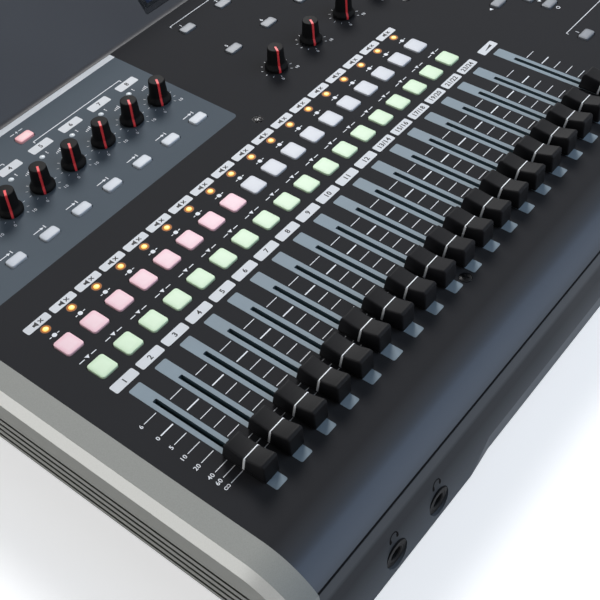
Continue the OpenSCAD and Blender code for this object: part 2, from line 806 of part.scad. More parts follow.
// A round data socket with five pin holes
module data_socket() {
    ring_r = jack_nut_r * 0.6;
    pin_r = screw_r / 2;
    body_y = -socket_proud - rear_t;
    difference() {
        union() {
            bar_y(jack_nut_r + 2 * socket_clear + cut, -socket_proud, 0);
            bar_y(jack_nut_r, body_y - cut, -cut);
            block(about(0, jack_w / 2), [body_y - jack_l / 2, body_y], about(0, jack_w / 2));
        }
        for (k = [0:4])
            rotate([0, 45 * k, 0]) translate([ring_r, 0, 0]) bar_y(pin_r, -jack_bore_l / 2, cut);
    }
}

module data_sockets() {
    color(knob_black) for (n = [1:data_count])
        translate([data_x(n), rear_y + socket_proud, socket_z]) data_socket();
}

module card_reader() {
    color(metal_grey) difference() {
        block(about(card_x, card_w / 2), span(skirt_y(card_z), reader_gap, card_l),
            about(card_z, card_slot_h));
        block(about(card_x, card_w / 2 - fader_wall),
            span(skirt_y(card_z), reader_gap - cut, card_l - skirt_t), about(card_z, card_slot_h / 2));
    }
}

// Controls that move

// A fader: its dished cap, the lever through the slot and the carriage in the slide pot
module fader(n) {
    steps = 12;
    half_top = cap_top_l / 2;
    dish = [for (i = [-steps:steps])
        let (edge_h = i < 0 ? cap_front_h : cap_rear_h)
        [half_top * i / steps, cap_mid_h + (edge_h - cap_mid_h) * pow(i / steps, 2)]];
    side = concat([[cap_l / 2, cap_gap], [-cap_l / 2, cap_gap]], dish);
    carriage_w = fader_body_w / 2 - fader_wall - carriage_clear;
    color(knob_black) translate([fader_x(n), fader_rest(n), 0]) {
        translate([0, 0, deck_h]) across(-cap_w / 2, cap_w / 2) polygon(reverse(side));
        block(about(0, lever_t / 2), about(0, lever_w / 2),
            [board_z + 2 * fader_wall, deck_h + cap_mid_h / 2]);
        block(about(0, carriage_w), about(0, carriage_l / 2),
            [board_z + fader_wall + carriage_clear, deck_u - fader_wall - carriage_clear]);
    }
}

// Half outline of a knob as points [r, z], grown by a margin
function knob_outline(grow) = concat(
    [[0, 0], [knob_r + grow, 0]],
    [for (i = [0:corner_steps])
        let (a = 90 * i / corner_steps)
        [knob_waist_r + (knob_r - knob_waist_r) * (1 - sin(a)) + grow, knob_rim + knob_flare * (1 - cos(a))]],
    [[knob_top_r + grow, knob_h - pointer_w / 2 + grow], [knob_top_r - pointer_w / 2 + grow, knob_h + grow],
     [0, knob_h + grow]]);

module knob(place) {
    shaft_z = pot_floor + flange_gap;
    color(knob_black) translate([place[0], place[1], 0]) {
        translate([0, 0, deck_h + knob_gap]) {
            rotate_extrude() polygon(knob_outline(0));
            intersection() {
                rotate_extrude() polygon(knob_outline(pointer_proud));
                rotate([0, 0, pointer_a])
                    block([0, 2 * knob_r], about(0, pointer_w / 2), [cut, knob_h + cut]);
            }
        }
        post(shaft_r, shaft_z, deck_h + knob_gap + cut);
    }
}

module data_wheel() {
    rim_in = wheel_r - wheel_rim;
    ball_r = (dimple_r * dimple_r + dimple_depth * dimple_depth) / (2 * dimple_depth);
    outline = [[0, 0], [wheel_r, 0], [wheel_r, wheel_h - cut], [wheel_r - cut, wheel_h], [rim_in, wheel_h],
        [rim_in - wheel_dish, wheel_h - wheel_dish], [0, wheel_h - wheel_dish]];
    color("#2b2d31") translate([wheel_x, wheel_y, 0]) {
        translate([0, 0, deck_h + knob_gap]) difference() {
            rotate_extrude() polygon(outline);
            translate([0, rim_in - wheel_dish - dimple_r - cut, wheel_h - wheel_dish + ball_r - dimple_depth])
                sphere(r = ball_r);
        }
        post(shaft_r, pot_floor + flange_gap, deck_h + knob_gap + cut);
    }
}

module rec_keys() {
    color("#f6dfe4") big_keys(rec_places);
}

module select_keys() {
    color("#e2f2df") big_keys(select_places);
}

module input_keys() {
    color("#eceef4") small_keys(input_key_places);
}

module menu_keys() {
    color("#d8dadd") small_keys(menu_key_places);
}

deck_panel();
display_hood();
bottom_tray();
rear_panel();
left_cheek();
right_cheek();
display_window();
display_module();
main_board();
panel_board();
fader_bodies();
knob_pots();
lamps();
combo_sockets();
line_jacks();
data_sockets();
card_reader();
feet();
screws();
for (n = [1:channels]) fader(n);
fader(channels + 1);  // fader_master
for (n = [1:inputs]) knob(trim_places[n - 1]);
knob(soft_places[0]);  // pan_knob
knob(soft_places[1]);  // tone_knob
knob(soft_places[2]);  // monitor_knob
knob(soft_places[3]);  // phones_knob
data_wheel();
rec_keys();
select_keys();
input_keys();
menu_keys();
transport_key(1);  // rewind_key
transport_key(2);  // forward_key
transport_key(3);  // stop_key
transport_key(4);  // play_key
transport_key(5);  // record_key
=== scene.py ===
# %% [markdown]
# # Digital multitrack recorder
# A table-top recorder: a dark deck between two champagne cheeks, eighteen channel faders and a master
# fader, lit keys, trim knobs, and a display on a slope at the rear. The solids and joints come ready
# made as a fixed frame. This lesson dresses them: smooth moulded keys, caps and knobs, the print on the
# deck, and a finish for every surface. All lengths below are millimetres until a mesh is written.

# %% Load the frame
import bpy
import numpy as np
from mathutils import Matrix, Vector


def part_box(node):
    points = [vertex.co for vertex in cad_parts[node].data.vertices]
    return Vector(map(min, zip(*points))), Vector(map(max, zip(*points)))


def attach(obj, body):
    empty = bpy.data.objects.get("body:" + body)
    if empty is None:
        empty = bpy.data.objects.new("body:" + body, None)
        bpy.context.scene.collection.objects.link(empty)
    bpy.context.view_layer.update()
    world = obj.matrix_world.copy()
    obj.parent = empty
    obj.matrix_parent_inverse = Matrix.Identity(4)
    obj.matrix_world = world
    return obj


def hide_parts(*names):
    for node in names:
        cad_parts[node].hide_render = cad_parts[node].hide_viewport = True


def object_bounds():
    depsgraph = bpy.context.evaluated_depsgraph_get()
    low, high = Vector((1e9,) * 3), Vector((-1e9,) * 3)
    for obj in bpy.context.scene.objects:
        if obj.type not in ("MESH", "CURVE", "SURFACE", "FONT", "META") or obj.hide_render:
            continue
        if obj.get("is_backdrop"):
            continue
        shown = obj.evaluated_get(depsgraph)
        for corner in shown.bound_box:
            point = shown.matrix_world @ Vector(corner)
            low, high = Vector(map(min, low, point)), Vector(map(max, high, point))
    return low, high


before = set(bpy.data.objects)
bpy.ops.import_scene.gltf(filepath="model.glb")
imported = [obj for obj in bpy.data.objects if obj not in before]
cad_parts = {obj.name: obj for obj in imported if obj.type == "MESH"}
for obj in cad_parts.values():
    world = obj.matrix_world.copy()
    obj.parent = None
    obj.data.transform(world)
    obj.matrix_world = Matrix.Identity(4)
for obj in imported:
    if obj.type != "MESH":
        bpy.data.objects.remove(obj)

MM = 0.001
case = "case"
scene = bpy.context.scene
cad_box = [list(corner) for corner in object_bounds()]

# %% [markdown]
# Every place is read from the frame, so the dressing moves when the solids do. The deck's height is the
# level all print and all caps are measured from, and the row of select keys is the line that the rows of
# print are counted from.

# %% Measure the frame
def reach(node):
    """Lowest and highest corner of a solid at rest, in millimetres."""
    low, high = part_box(node)
    return np.array(low) / MM, np.array(high) / MM


def middle(node):
    """Middle of a solid's box: half the sum of its two corners."""
    low, high = reach(node)
    return (low + high) / 2


channels = 18
inputs = 8
deck = reach("deck_panel")[1][2]
select_row = middle("select_keys")[1]
rec_row = middle("rec_keys")[1]
channel_x = np.array([middle(f"fader_{n}")[0] for n in range(1, channels + 1)])
master_x = middle("fader_master")[0]
fader_x = np.append(channel_x, master_x)
fader_low = middle("fader_1")[1]
input_x = np.array([middle(f"trim_knob_{n}")[0] for n in range(1, inputs + 1)])
pitch = channel_x[1] - channel_x[0]
print(f"deck at {deck:.2f}, channel pitch {pitch:.2f}, input pitch {input_x[1] - input_x[0]:.2f}")

# %% [markdown]
# ## Shapes as arrays
# A shape here is a pair: an array of points, and a list of face arrays, where all faces in one array have
# the same number of corners. Grids, lofts and repeats then need no loop over points, and one call writes
# the arrays into a Blender mesh.

# %% Grid, loft, repeat and join
def grid_faces(rows, cols, wrap_rows=False, wrap_cols=False):
    """Quads of a grid: each point, the next along its row, and the two above.
    A wrapped side joins its last points to its first."""
    i = np.arange(rows if wrap_rows else rows - 1)[:, None]
    j = np.arange(cols if wrap_cols else cols - 1)[None, :]
    up, along = (i + 1) % rows, (j + 1) % cols
    corners = [i * cols + j, i * cols + along, up * cols + along, up * cols + j]
    return np.stack(corners, axis=-1).reshape(-1, 4)


def loft(rings):
    """A closed skin over rings of points (ring, point, xyz), with a face over the first and the last."""
    count, around = rings.shape[:2]
    ring = np.arange(around)
    walls = grid_faces(count, around, wrap_cols=True)
    return rings.reshape(-1, 3), [walls, ring[None, ::-1], (ring + (count - 1) * around)[None]]


def repeat(shape, places):
    """The shape at each place: every point plus the place.
    Each copy's faces count on from the last copy's points."""
    points, groups = shape
    places = np.asarray(places, float).reshape(-1, 3)
    offsets = np.arange(len(places)) * len(points)
    moved = (places[:, None] + points[None]).reshape(-1, 3)
    return moved, [(offsets[:, None, None] + g[None]).reshape(-1, g.shape[1]) for g in groups]


def join(shapes):
    """Several shapes as one: points end to end, faces counted on by the points before them."""
    offsets = np.cumsum([0] + [len(points) for points, _ in shapes[:-1]])
    points = np.concatenate([points for points, _ in shapes])
    return points, [g + offset for (_, groups), offset in zip(shapes, offsets) for g in groups]


def volume(shape):
    """Signed volume: a sixth of the sum of a . (b x c) over triangles.
    Each face is cut into a fan of triangles from its first corner."""
    points, groups = shape
    total = 0.0
    for g in groups:
        a, b, c = points[g[:, :1]], points[g[:, 1:-1]], points[g[:, 2:]]
        total += (a * np.cross(b, c)).sum() / 6
    return total


def outward(shape):
    """The same closed shape with its faces turned to point out: its signed volume is then above nought."""
    points, groups = shape
    return shape if volume(shape) > 0 else (points, [g[:, ::-1] for g in groups])


def skin(x, y, z):
    """Closed skin over a grid of rings, from its x, y and z, each of which may be a single row or column."""
    return outward(loft(np.stack(np.broadcast_arrays(x, y, z), axis=-1)))


# %% Write a shape into a mesh
def add_object(name, data):
    """A new object in the scene that holds the data."""
    thing = bpy.data.objects.new(name, data)
    scene.collection.objects.link(thing)
    return thing


def make_piece(name, shape, finish, rides, slot, stands_for=(), sharp=35, **attributes):
    """A mesh piece at the origin, its arrays set at once, smooth but for edges sharper than an angle."""
    points, groups = shape
    corners = np.concatenate([g.ravel() for g in groups])
    sides = np.concatenate([np.full(len(g), g.shape[1]) for g in groups])
    mesh = bpy.data.meshes.new(name)
    mesh.vertices.add(len(points))
    mesh.vertices.foreach_set("co", (points * MM).ravel())
    mesh.loops.add(len(corners))
    mesh.loops.foreach_set("vertex_index", corners)
    mesh.polygons.add(len(sides))
    mesh.polygons.foreach_set("loop_start", np.cumsum(sides) - sides)
    for key, values in attributes.items():
        mesh.attributes.new(key, "FLOAT", "POINT").data.foreach_set("value", np.asarray(values, np.float32))
    mesh.update(calc_edges=True)
    mesh.polygons.foreach_set("use_smooth", np.ones(len(sides), bool))
    mesh.set_sharp_from_angle(angle=np.radians(sharp))
    mesh.materials.append(finish)
    piece = add_object(name, mesh)
    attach(piece, rides)
    if stands_for:
        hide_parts(*stands_for)
    return piece


# %% Outlines
def full_turn(steps):
    """Angles in even steps over one turn."""
    return np.arange(steps) * 2 * np.pi / steps


def rays(angles):
    """Unit vectors (cos, sin), one for each angle."""
    return np.stack([np.cos(angles), np.sin(angles)], axis=-1)


def turned(outline, angle):
    """Flat outline turned about the origin: (x cos - y sin, x sin + y cos)."""
    c, s = rays(angle)
    return outline @ np.array([[c, s], [-s, c]])


def normals(path, closed=True):
    """Unit normals of a path, to the right of the way it runs: (dy, -dx) over their length."""
    ahead = np.roll(path, -1, axis=0) - np.roll(path, 1, axis=0) if closed else np.gradient(path, axis=0)
    return np.column_stack([ahead[:, 1], -ahead[:, 0]]) / np.linalg.norm(ahead, axis=1)[:, None]


def rounded_rect(width, depth, radius, steps=5):
    """Rectangle with round corners, counter-clockwise.
    Each corner is its middle plus radius times (cos, sin) over a quarter turn."""
    turn = (np.arange(4)[:, None] * np.pi / 2 + np.linspace(0, np.pi / 2, steps)).ravel()
    side = np.repeat([[1, 1], [-1, 1], [-1, -1], [1, -1]], steps, axis=0)
    return side * (np.array([width, depth]) / 2 - radius) + radius * rays(turn)


def disc(radius, steps=20):
    """Circle as points: radius times (cos, sin) over one turn."""
    return radius * rays(full_turn(steps))


def round_corners(corners, radius, steps=5):
    """Closed outline with each corner a quadratic curve.
    A curve begins and ends a radius off its corner, or half a side where that is less."""
    before = np.roll(corners, 1, axis=0) - corners
    after = np.roll(corners, -1, axis=0) - corners
    long_before, long_after = np.linalg.norm(before, axis=1), np.linalg.norm(after, axis=1)
    start = corners + before * (np.minimum(radius, long_before / 2) / long_before)[:, None]
    end = corners + after * (np.minimum(radius, long_after / 2) / long_after)[:, None]
    t = np.linspace(0, 1, steps)[None, :, None]
    curve = (1 - t) ** 2 * start[:, None] + 2 * t * (1 - t) * corners[:, None] + t ** 2 * end[:, None]
    return curve.reshape(-1, 2)


def at_height(outline, height):
    """Flat outline lifted to a height."""
    return np.column_stack([outline, np.full(len(outline), height)])


def slab(outline, low, high):
    """A thin plate: the outline at its low and its high level, closed above and below."""
    return skin(*outline.T, np.array([[low], [high]]))


def window_slab(outer, inner, low, high):
    """A thin plate with a window: outer foot, outer top, inner top and inner foot, joined round and round."""
    walk = ((outer, low), (outer, high), (inner, high), (inner, low))
    rings = np.stack([at_height(outline, height) for outline, height in walk])
    return rings.reshape(-1, 3), [grid_faces(4, len(outer), wrap_rows=True, wrap_cols=True)]


print("a key outline has", len(rounded_rect(9.3, 10.4, 1.5)), "points")

# %% [markdown]
# ## Finishes
# Colours are written as they look on screen and turned into linear light once. No real surface is one
# flat colour: a slow noise drifts the tone and the gloss a little, and a fine noise lifts the surface as
# the grain of moulded or painted plastic. Everything reads Object coordinates, which are metres here.

# %% Colour and the moulded finish
def tone(red, green, blue):
    """Screen colour, 0 to 255, as linear light: c / 12.92 near black, else ((c + 0.055) / 1.055) ** 2.4."""
    c = np.array([red, green, blue]) / 255
    return (*np.where(c <= 0.04045, c / 12.92, ((c + 0.055) / 1.055) ** 2.4), 1.0)


class Nodes:
    """The node tree of a material or a world, with short calls to add nodes and links."""

    def __init__(self, owner):
        owner.use_nodes = True
        self.owner, self.tree = owner, owner.node_tree

    def node(self, kind, operation=None, **inputs):
        node = self.tree.nodes.new(kind)
        if operation:
            node.operation = operation
        for name, value in inputs.items():
            node.inputs[name].default_value = value
        return node

    def link(self, source, target):
        self.tree.links.new(source, target)

    def put(self, socket, value):
        """Link the socket to another one, or set it to a plain value."""
        if isinstance(value, bpy.types.NodeSocket):
            self.link(value, socket)
        else:
            socket.default_value = value

    def math(self, operation, a, b=0.0, clamp=False):
        node = self.node("ShaderNodeMath", operation)
        node.use_clamp = clamp
        for socket, value in zip(node.inputs, (a, b)):
            self.put(socket, value)
        return node.outputs[0]

    def remap(self, value, low, high, start=0.3, end=0.7):
        node = self.node("ShaderNodeMapRange")
        for socket, number in zip(node.inputs, (value, start, end, low, high)):
            self.put(socket, number)
        return node.outputs["Result"]

    def seen(self):
        """1 for camera, glossy and transmission rays: the sum of their three flags, held to 1."""
        flags = self.node("ShaderNodeLightPath").outputs
        either = self.math("ADD", flags["Is Camera Ray"], flags["Is Glossy Ray"])
        return self.math("ADD", either, flags["Is Transmission Ray"], True)


class Finish(Nodes):
    """A material with one shader. Colours are given as on screen, and in input names _ stands for a space."""

    def __init__(self, name, rough=0.5, shine=0.5, metal=0.0):
        super().__init__(bpy.data.materials.new(name))
        self.material = self.owner
        self.shader = self.tree.nodes["Principled BSDF"]
        self.set(Roughness=rough, Metallic=metal, Specular_IOR_Level=shine)
        self.place = self.node("ShaderNodeTexCoord").outputs["Object"]

    def set(self, **values):
        for name, value in values.items():
            self.put(self.shader.inputs[name.replace("_", " ")], value)

    def split(self):
        parts = self.node("ShaderNodeSeparateXYZ")
        self.link(self.place, parts.inputs[0])
        return parts.outputs

    def noise(self, scale, detail=2.0):
        node = self.node("ShaderNodeTexNoise", Scale=scale, Detail=detail)
        self.link(self.place, node.inputs["Vector"])
        return node.outputs["Fac"]

    def blend(self, factor, first, second):
        node = self.node("ShaderNodeMix")
        node.data_type = "RGBA"
        self.link(factor, node.inputs["Factor"])
        for socket, value in ((node.inputs[6], first), (node.inputs[7], second)):
            self.put(socket, tone(*value) if isinstance(value, tuple) else value)
        return node.outputs[2]

    def swing(self, cloud, low, high):
        """A cloud of 0 to 1 as values from low to high."""
        return self.remap(cloud, low, high, 0.0, 1.0)

    def grain(self, scale, depth, strength=0.5):
        bump = self.node("ShaderNodeBump", Strength=strength, Distance=depth * MM)
        self.link(self.noise(scale, 3.0), bump.inputs["Height"])
        self.set(Normal=bump.outputs["Normal"])

    def drift(self, dark, light, rough, scale=14, swing=0.05):
        cloud = self.remap(self.noise(scale, 4.0), 0.0, 1.0)
        self.set(
            Base_Color=self.blend(cloud, dark, light), Roughness=self.swing(cloud, rough - swing, rough + swing))


def moulded(name, dark, light, rough, shine=0.5, grain=1500, depth=0.01, metal=0.0, scale=14):
    """Moulded or painted plastic: colour and gloss drift between two near tones over a fine grain."""
    finish = Finish(name, rough, shine, metal)
    finish.drift(dark, light, rough, scale)
    finish.grain(grain, depth)
    return finish.material


# %% [markdown]
# The deck is one painted panel in two tones: near-black over the faders and slate over the inputs. The
# slate field has round corners, so its edge is worked out as a distance: how far a point lies outside a
# smaller rectangle, less the corner radius. One material then covers the whole panel without any seam. The
# walls of the fader slots keep the blue-grey of the strips, so whatever lies under the deck's face there is
# tinted too. On the roll a ramp over the depth turns matt black into a smoother, metallic paint that shows
# the lamps' reflection running along it, and its lighter tone is a painted sheen.

# %% Deck paint
input_field_right = input_x[-1] + 13.9
input_field_front = select_row + 60.8
input_field_rear = reach("deck_panel")[1][1] + 10
input_field_left = reach("deck_panel")[0][0] + 1.6
field_corner = 2.5


def field_mask(finish, low, high, corner):
    """1 inside a round-cornered field.
    There the length of max(|p - middle| - half + corner, 0) stays under the corner radius."""
    low, high = np.array(low) * MM, np.array(high) * MM
    value = finish.place
    steps = (
        ("SUBTRACT", (*(low + high) / 2, 0.0)),
        ("ABSOLUTE", None),
        ("SUBTRACT", (*(high - low) / 2 - corner * MM, 0.0)),
        ("MAXIMUM", (0.0, 0.0, 0.0)),
        ("MULTIPLY", (1.0, 1.0, 0.0)),
        ("LENGTH", None),
    )
    for operation, constant in steps:
        node = finish.node("ShaderNodeVectorMath", operation)
        finish.link(value, node.inputs[0])
        if constant:
            node.inputs[1].default_value = constant
        value = node.outputs["Value" if operation == "LENGTH" else "Vector"]
    return finish.math("LESS_THAN", value, corner * MM)


deck_paint = Finish("deck_paint", rough=0.8, shine=0.2)
paint_cloud = deck_paint.remap(deck_paint.noise(9, 4.0), 0.0, 1.0)
black_paint = deck_paint.blend(paint_cloud, (40, 40, 42), (45, 45, 47))
slate_paint = deck_paint.blend(paint_cloud, (84, 92, 99), (91, 99, 106))
slate_field = field_mask(
    deck_paint, (input_field_left, input_field_front), (input_field_right, input_field_rear), field_corner)
top_paint = deck_paint.blend(slate_field, black_paint, slate_paint)
deck_depth = deck_paint.split()
slot_field = field_mask(deck_paint, (channel_x[0] - 3, select_row - 86), (master_x + 3, select_row - 28), 1.0)
under_face = deck_paint.math("LESS_THAN", deck_depth["Z"], (deck - 0.3) * MM)
slot_paint = deck_paint.blend(paint_cloud, (72, 92, 100), (80, 100, 108))
slot_wall = deck_paint.math("MULTIPLY", slot_field, under_face)
roll_r, roll_turn = 33.0, np.radians(50)
roll_start = reach("deck_panel")[0][1] + roll_r * np.sin(roll_turn)
# Painted sheen on the roll: towards the front the paint turns lighter, smoother and metallic.
sheen_full, sheen_from = roll_start - 16, roll_start - 4
roll_sheen = deck_paint.remap(deck_depth["Y"], 1.0, 0.0, sheen_full * MM, sheen_from * MM)
face_paint = deck_paint.blend(slot_wall, top_paint, slot_paint)
sheen_paint = deck_paint.blend(paint_cloud, (62, 65, 70), (67, 70, 75))
gloss = deck_paint.math("ADD", deck_paint.swing(roll_sheen, 0.95, 0.36), deck_paint.swing(paint_cloud, -0.03, 0.03))
deck_paint.set(
    Base_Color=deck_paint.blend(roll_sheen, face_paint, sheen_paint), Roughness=gloss,
    Metallic=deck_paint.math("MULTIPLY", roll_sheen, 0.9))
deck_paint.grain(2200, 0.012, 0.4)
print(f"slate field runs to x {input_field_right:.1f}, from y {input_field_front:.1f}")

# %% [markdown]
# The cheeks are champagne paint with a fine metal flake, so their tone comes from a very fine noise. Their
# outer edge is a polished bevel, which a mask finds by its distance from the case's side: it lies behind the
# outer face, above the grooves or close to the front. The bevel's lighter tone is a painted highlight, and
# the floors of the grooves below it are painted darker as painted shade.

# %% Champagne paint
skirt_lean = np.tan(np.radians(9.5))
case_side = reach("right_cheek")[1][0]
front_edge_y = reach("bottom_tray")[0][1]
tray_foot = reach("bottom_tray")[0][2]
champagne = Finish("champagne_paint", rough=0.58, shine=0.25)
flake = champagne.remap(champagne.noise(2600, 2.0), 0.0, 1.0)
cheek = champagne.split()
aside = champagne.math("ABSOLUTE", cheek["X"])
bevel_start, groove_top = case_side - 3.85, deck - 15.0
bevel_band = champagne.math(
    "MULTIPLY", champagne.math("GREATER_THAN", aside, bevel_start * MM),
    champagne.math("LESS_THAN", aside, (case_side - 0.05) * MM))
over_grooves = champagne.math("GREATER_THAN", cheek["Z"], groove_top * MM)
upright_y = champagne.math("SUBTRACT", cheek["Y"], champagne.math("MULTIPLY", cheek["Z"], skirt_lean))
at_front = champagne.math("LESS_THAN", upright_y, (front_edge_y - tray_foot * skirt_lean + 4.0) * MM)
bevel = champagne.math("MULTIPLY", bevel_band, champagne.math("MAXIMUM", over_grooves, at_front))
# The bevel's lighter tone is a painted highlight; the groove floors are painted darker as their shade.
paint = champagne.blend(flake, (146, 146, 140), (154, 154, 148))
polish_highlight = champagne.blend(flake, (188, 188, 184), (196, 196, 192))
groove_shade = champagne.math("GREATER_THAN", champagne.math("SUBTRACT", bevel_band, bevel), 0.5)
painted = champagne.blend(groove_shade, paint, (78, 78, 74))
paint_gloss = champagne.swing(flake, 0.52, 0.64)
champagne.set(
    Base_Color=champagne.blend(bevel, painted, polish_highlight), Metallic=champagne.math("MULTIPLY", bevel, 0.45),
    Roughness=champagne.math("SUBTRACT", paint_gloss, champagne.math("MULTIPLY", bevel, 0.2)))
champagne.grain(1600, 0.004, 0.25)
print(f"bevel from x {bevel_start:.2f} to {case_side:.2f}")

# %% [markdown]
# The tray is moulded in a dark blue-grey. Its skirt is painted lighter along the brow under the seam, a
# painted highlight, and towards the foot, a painted reflection of the floor; two ramps over the height give
# this. The facet along its front foot is lighter still, a painted reflection: there the surface lies a little
# behind the leaning skirt, and that distance is the mask. Hood, sockets, boards, feet and screws are plainer,
# each with its own gloss. The window is a thin smoked sheet, which lets most of the light through, so its
# alpha is low.

# %% Finishes of the solids that stay
tray = Finish("tray_paint", rough=0.5, shine=0.1)
tray_cloud = tray.remap(tray.noise(14, 4.0), 0.0, 1.0)
tray_place = tray.split()
skirt_line = (front_edge_y - tray_foot * skirt_lean) * MM
set_back = tray.math("SUBTRACT", tray_place["Y"], tray.math("MULTIPLY", tray_place["Z"], skirt_lean))
facet_in, facet_deep, facet_half = 0.08, 1.8, 146
facet_tests = [
    tray.math("GREATER_THAN", set_back, skirt_line + facet_in * MM),
    tray.math("LESS_THAN", set_back, skirt_line + facet_deep * MM),
    tray.math("GREATER_THAN", tray_place["Z"], (tray_foot + 0.05) * MM),
    tray.math("LESS_THAN", tray.math("ABSOLUTE", tray_place["X"]), facet_half * MM)]
facet = facet_tests[0]
for test in facet_tests[1:]:
    facet = tray.math("MULTIPLY", facet, test)
# Lighter brow and foot are a painted highlight and a painted reflection; the lighter facet is a painted
# reflection.
tray_tone = tray.blend(tray_cloud, (26, 30, 36), (31, 35, 41))
facet_reflection_tone = tray.blend(tray_cloud, (94, 97, 101), (100, 103, 107))
painted_sheen_tone = tray.blend(tray_cloud, (86, 89, 93), (92, 95, 99))
brow = tray.remap(tray_place["Z"], 0.0, 0.55, (deck - 22) * MM, (deck - 19) * MM)
foot = tray.remap(tray_place["Z"], 1.0, 0.0, (tray_foot + 2) * MM, (tray_foot + 22) * MM)
painted_sheen = tray.math("MULTIPLY", tray.math("ADD", brow, foot), facet_tests[1])
skirt_tone = tray.blend(painted_sheen, tray_tone, painted_sheen_tone)
tray.set(Base_Color=tray.blend(facet, skirt_tone, facet_reflection_tone), Roughness=tray.swing(tray_cloud, 0.46, 0.56))
tray.grain(2200, 0.012)

hood_paint = moulded("hood_paint", (58, 57, 60), (66, 65, 68), 0.5, 0.45, 2200, 0.012)
rear_paint = moulded("rear_paint", (34, 35, 37), (42, 43, 45), 0.55, 0.35, 1800, 0.015)
socket_plastic = moulded("socket_plastic", (20, 20, 22), (28, 28, 30), 0.45, 0.45, 1200, 0.01)
plated = moulded("plated_metal", (168, 168, 166), (190, 190, 188), 0.28, 0.5, 1200, 0.004, 1.0)
fibre_board = moulded("circuit_board", (22, 74, 48), (30, 88, 58), 0.5, 0.5, 800, 0.02)
module_back = moulded("display_module_back", (18, 20, 24), (24, 26, 30), 0.4, 0.4, 800, 0.01)
foot_rubber = moulded("foot_rubber", (24, 24, 25), (32, 32, 33), 0.8, 0.3, 1600, 0.04)
slot_teal = moulded("slot_teal", (52, 72, 78), (60, 82, 88), 0.6, 0.2, 900, 0.01)
black_screw = moulded("black_screw", (16, 16, 18), (26, 26, 28), 0.24, 0.6, 900, 0.006, 0.5)

smoked = Finish("smoked_window", rough=0.3, shine=0.08)
smoked.drift((14, 16, 20), (20, 22, 26), 0.3, 10, 0.03)
smoked.set(Alpha=0.3)

dressed = {
    "deck_panel": deck_paint.material, "display_hood": hood_paint, "bottom_tray": tray.material,
    "rear_panel": rear_paint, "left_cheek": champagne.material, "right_cheek": champagne.material,
    "display_window": smoked.material, "display_module": module_back, "main_board": fibre_board,
    "panel_board": fibre_board, "fader_bodies": slot_teal, "knob_pots": plated,
    "combo_sockets": socket_plastic, "line_jacks": socket_plastic, "data_sockets": socket_plastic,
    "card_reader": plated, "feet": foot_rubber, "screws": black_screw,
}
for node, material in dressed.items():
    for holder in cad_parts[node].material_slots:
        holder.material = material
print("finishes set on", len(dressed), "solids")

# %% [markdown]
# ## Print on the deck
# Print is a skin of ink. A real silk-screen layer is a few hundredths of a millimetre, which is also the
# best model of it: thin closed plates that stand just proud of the paint. There are grey-blue fader strips,
# pale label fields, dark ink on the labels and white ink elsewhere. Each piece is one mesh of many plates.

# %% Inks
def inked(name, dark, light, rough=0.55, shine=0.3, scale=60):
    """Ink or a bright thin plastic: a moulded finish with hardly any grain."""
    return moulded(name, dark, light, rough, shine, 900, 0.004, 0.0, scale)


ink = (-0.03, 0.05)
over_ink = (0.03, 0.09)
white_ink = inked("white_ink", (226, 228, 232), (238, 239, 242))
pale_ink = inked("pale_ink", (211, 213, 216), (221, 223, 226))
strip_ink = inked("strip_ink", (127, 141, 150), (139, 153, 162), 0.6, 0.3, 40)
dark_ink = inked("dark_ink", (24, 25, 28), (34, 35, 38))


def spots(xs, ys, z=None):
    """Every pair of an x and a y, as places on the deck."""
    grid = np.stack(np.meshgrid(np.atleast_1d(xs), np.atleast_1d(ys), indexing="ij"), axis=-1).reshape(-1, 2)
    return np.column_stack([grid, np.full(len(grid), deck if z is None else z)])


def laid(*rows):
    """Shapes laid on the deck: each row is a shape with its x's and its y's."""
    return [repeat(shape, spots(xs, ys)) for shape, xs, ys in rows]


# %% Fader strips
strip_w, strip_front, strip_rear = 6.6, select_row - 95.2, select_row - 17.9
slot_w, slot_front, slot_rear = 2.1, select_row - 85.0, select_row - 29.2
strip_mid = (strip_front + strip_rear) / 2
slot_shift = (slot_front + slot_rear) / 2 - strip_mid
strip_outer = rounded_rect(strip_w, strip_rear - strip_front, 0.8)
strip_inner = rounded_rect(slot_w + 0.1, slot_rear - slot_front + 0.1, 0.5) + [0, slot_shift]
strip = window_slab(strip_outer, strip_inner, *ink)
make_piece("fader_strips", repeat(strip, spots(fader_x, strip_mid)), strip_ink, case, "deck_black")
print(len(fader_x), "strips,", f"{strip_rear - strip_front:.1f} long")

# %% [markdown]
# Beside each fader stands a scale. The marks are bars of the same length; the zero mark is heavier. The
# numbers stand once, left of the first scale. A number is made as text, turned into a flat mesh, and its
# points are then placed as an array like any other shape, with its edge carried down to give it a foot.

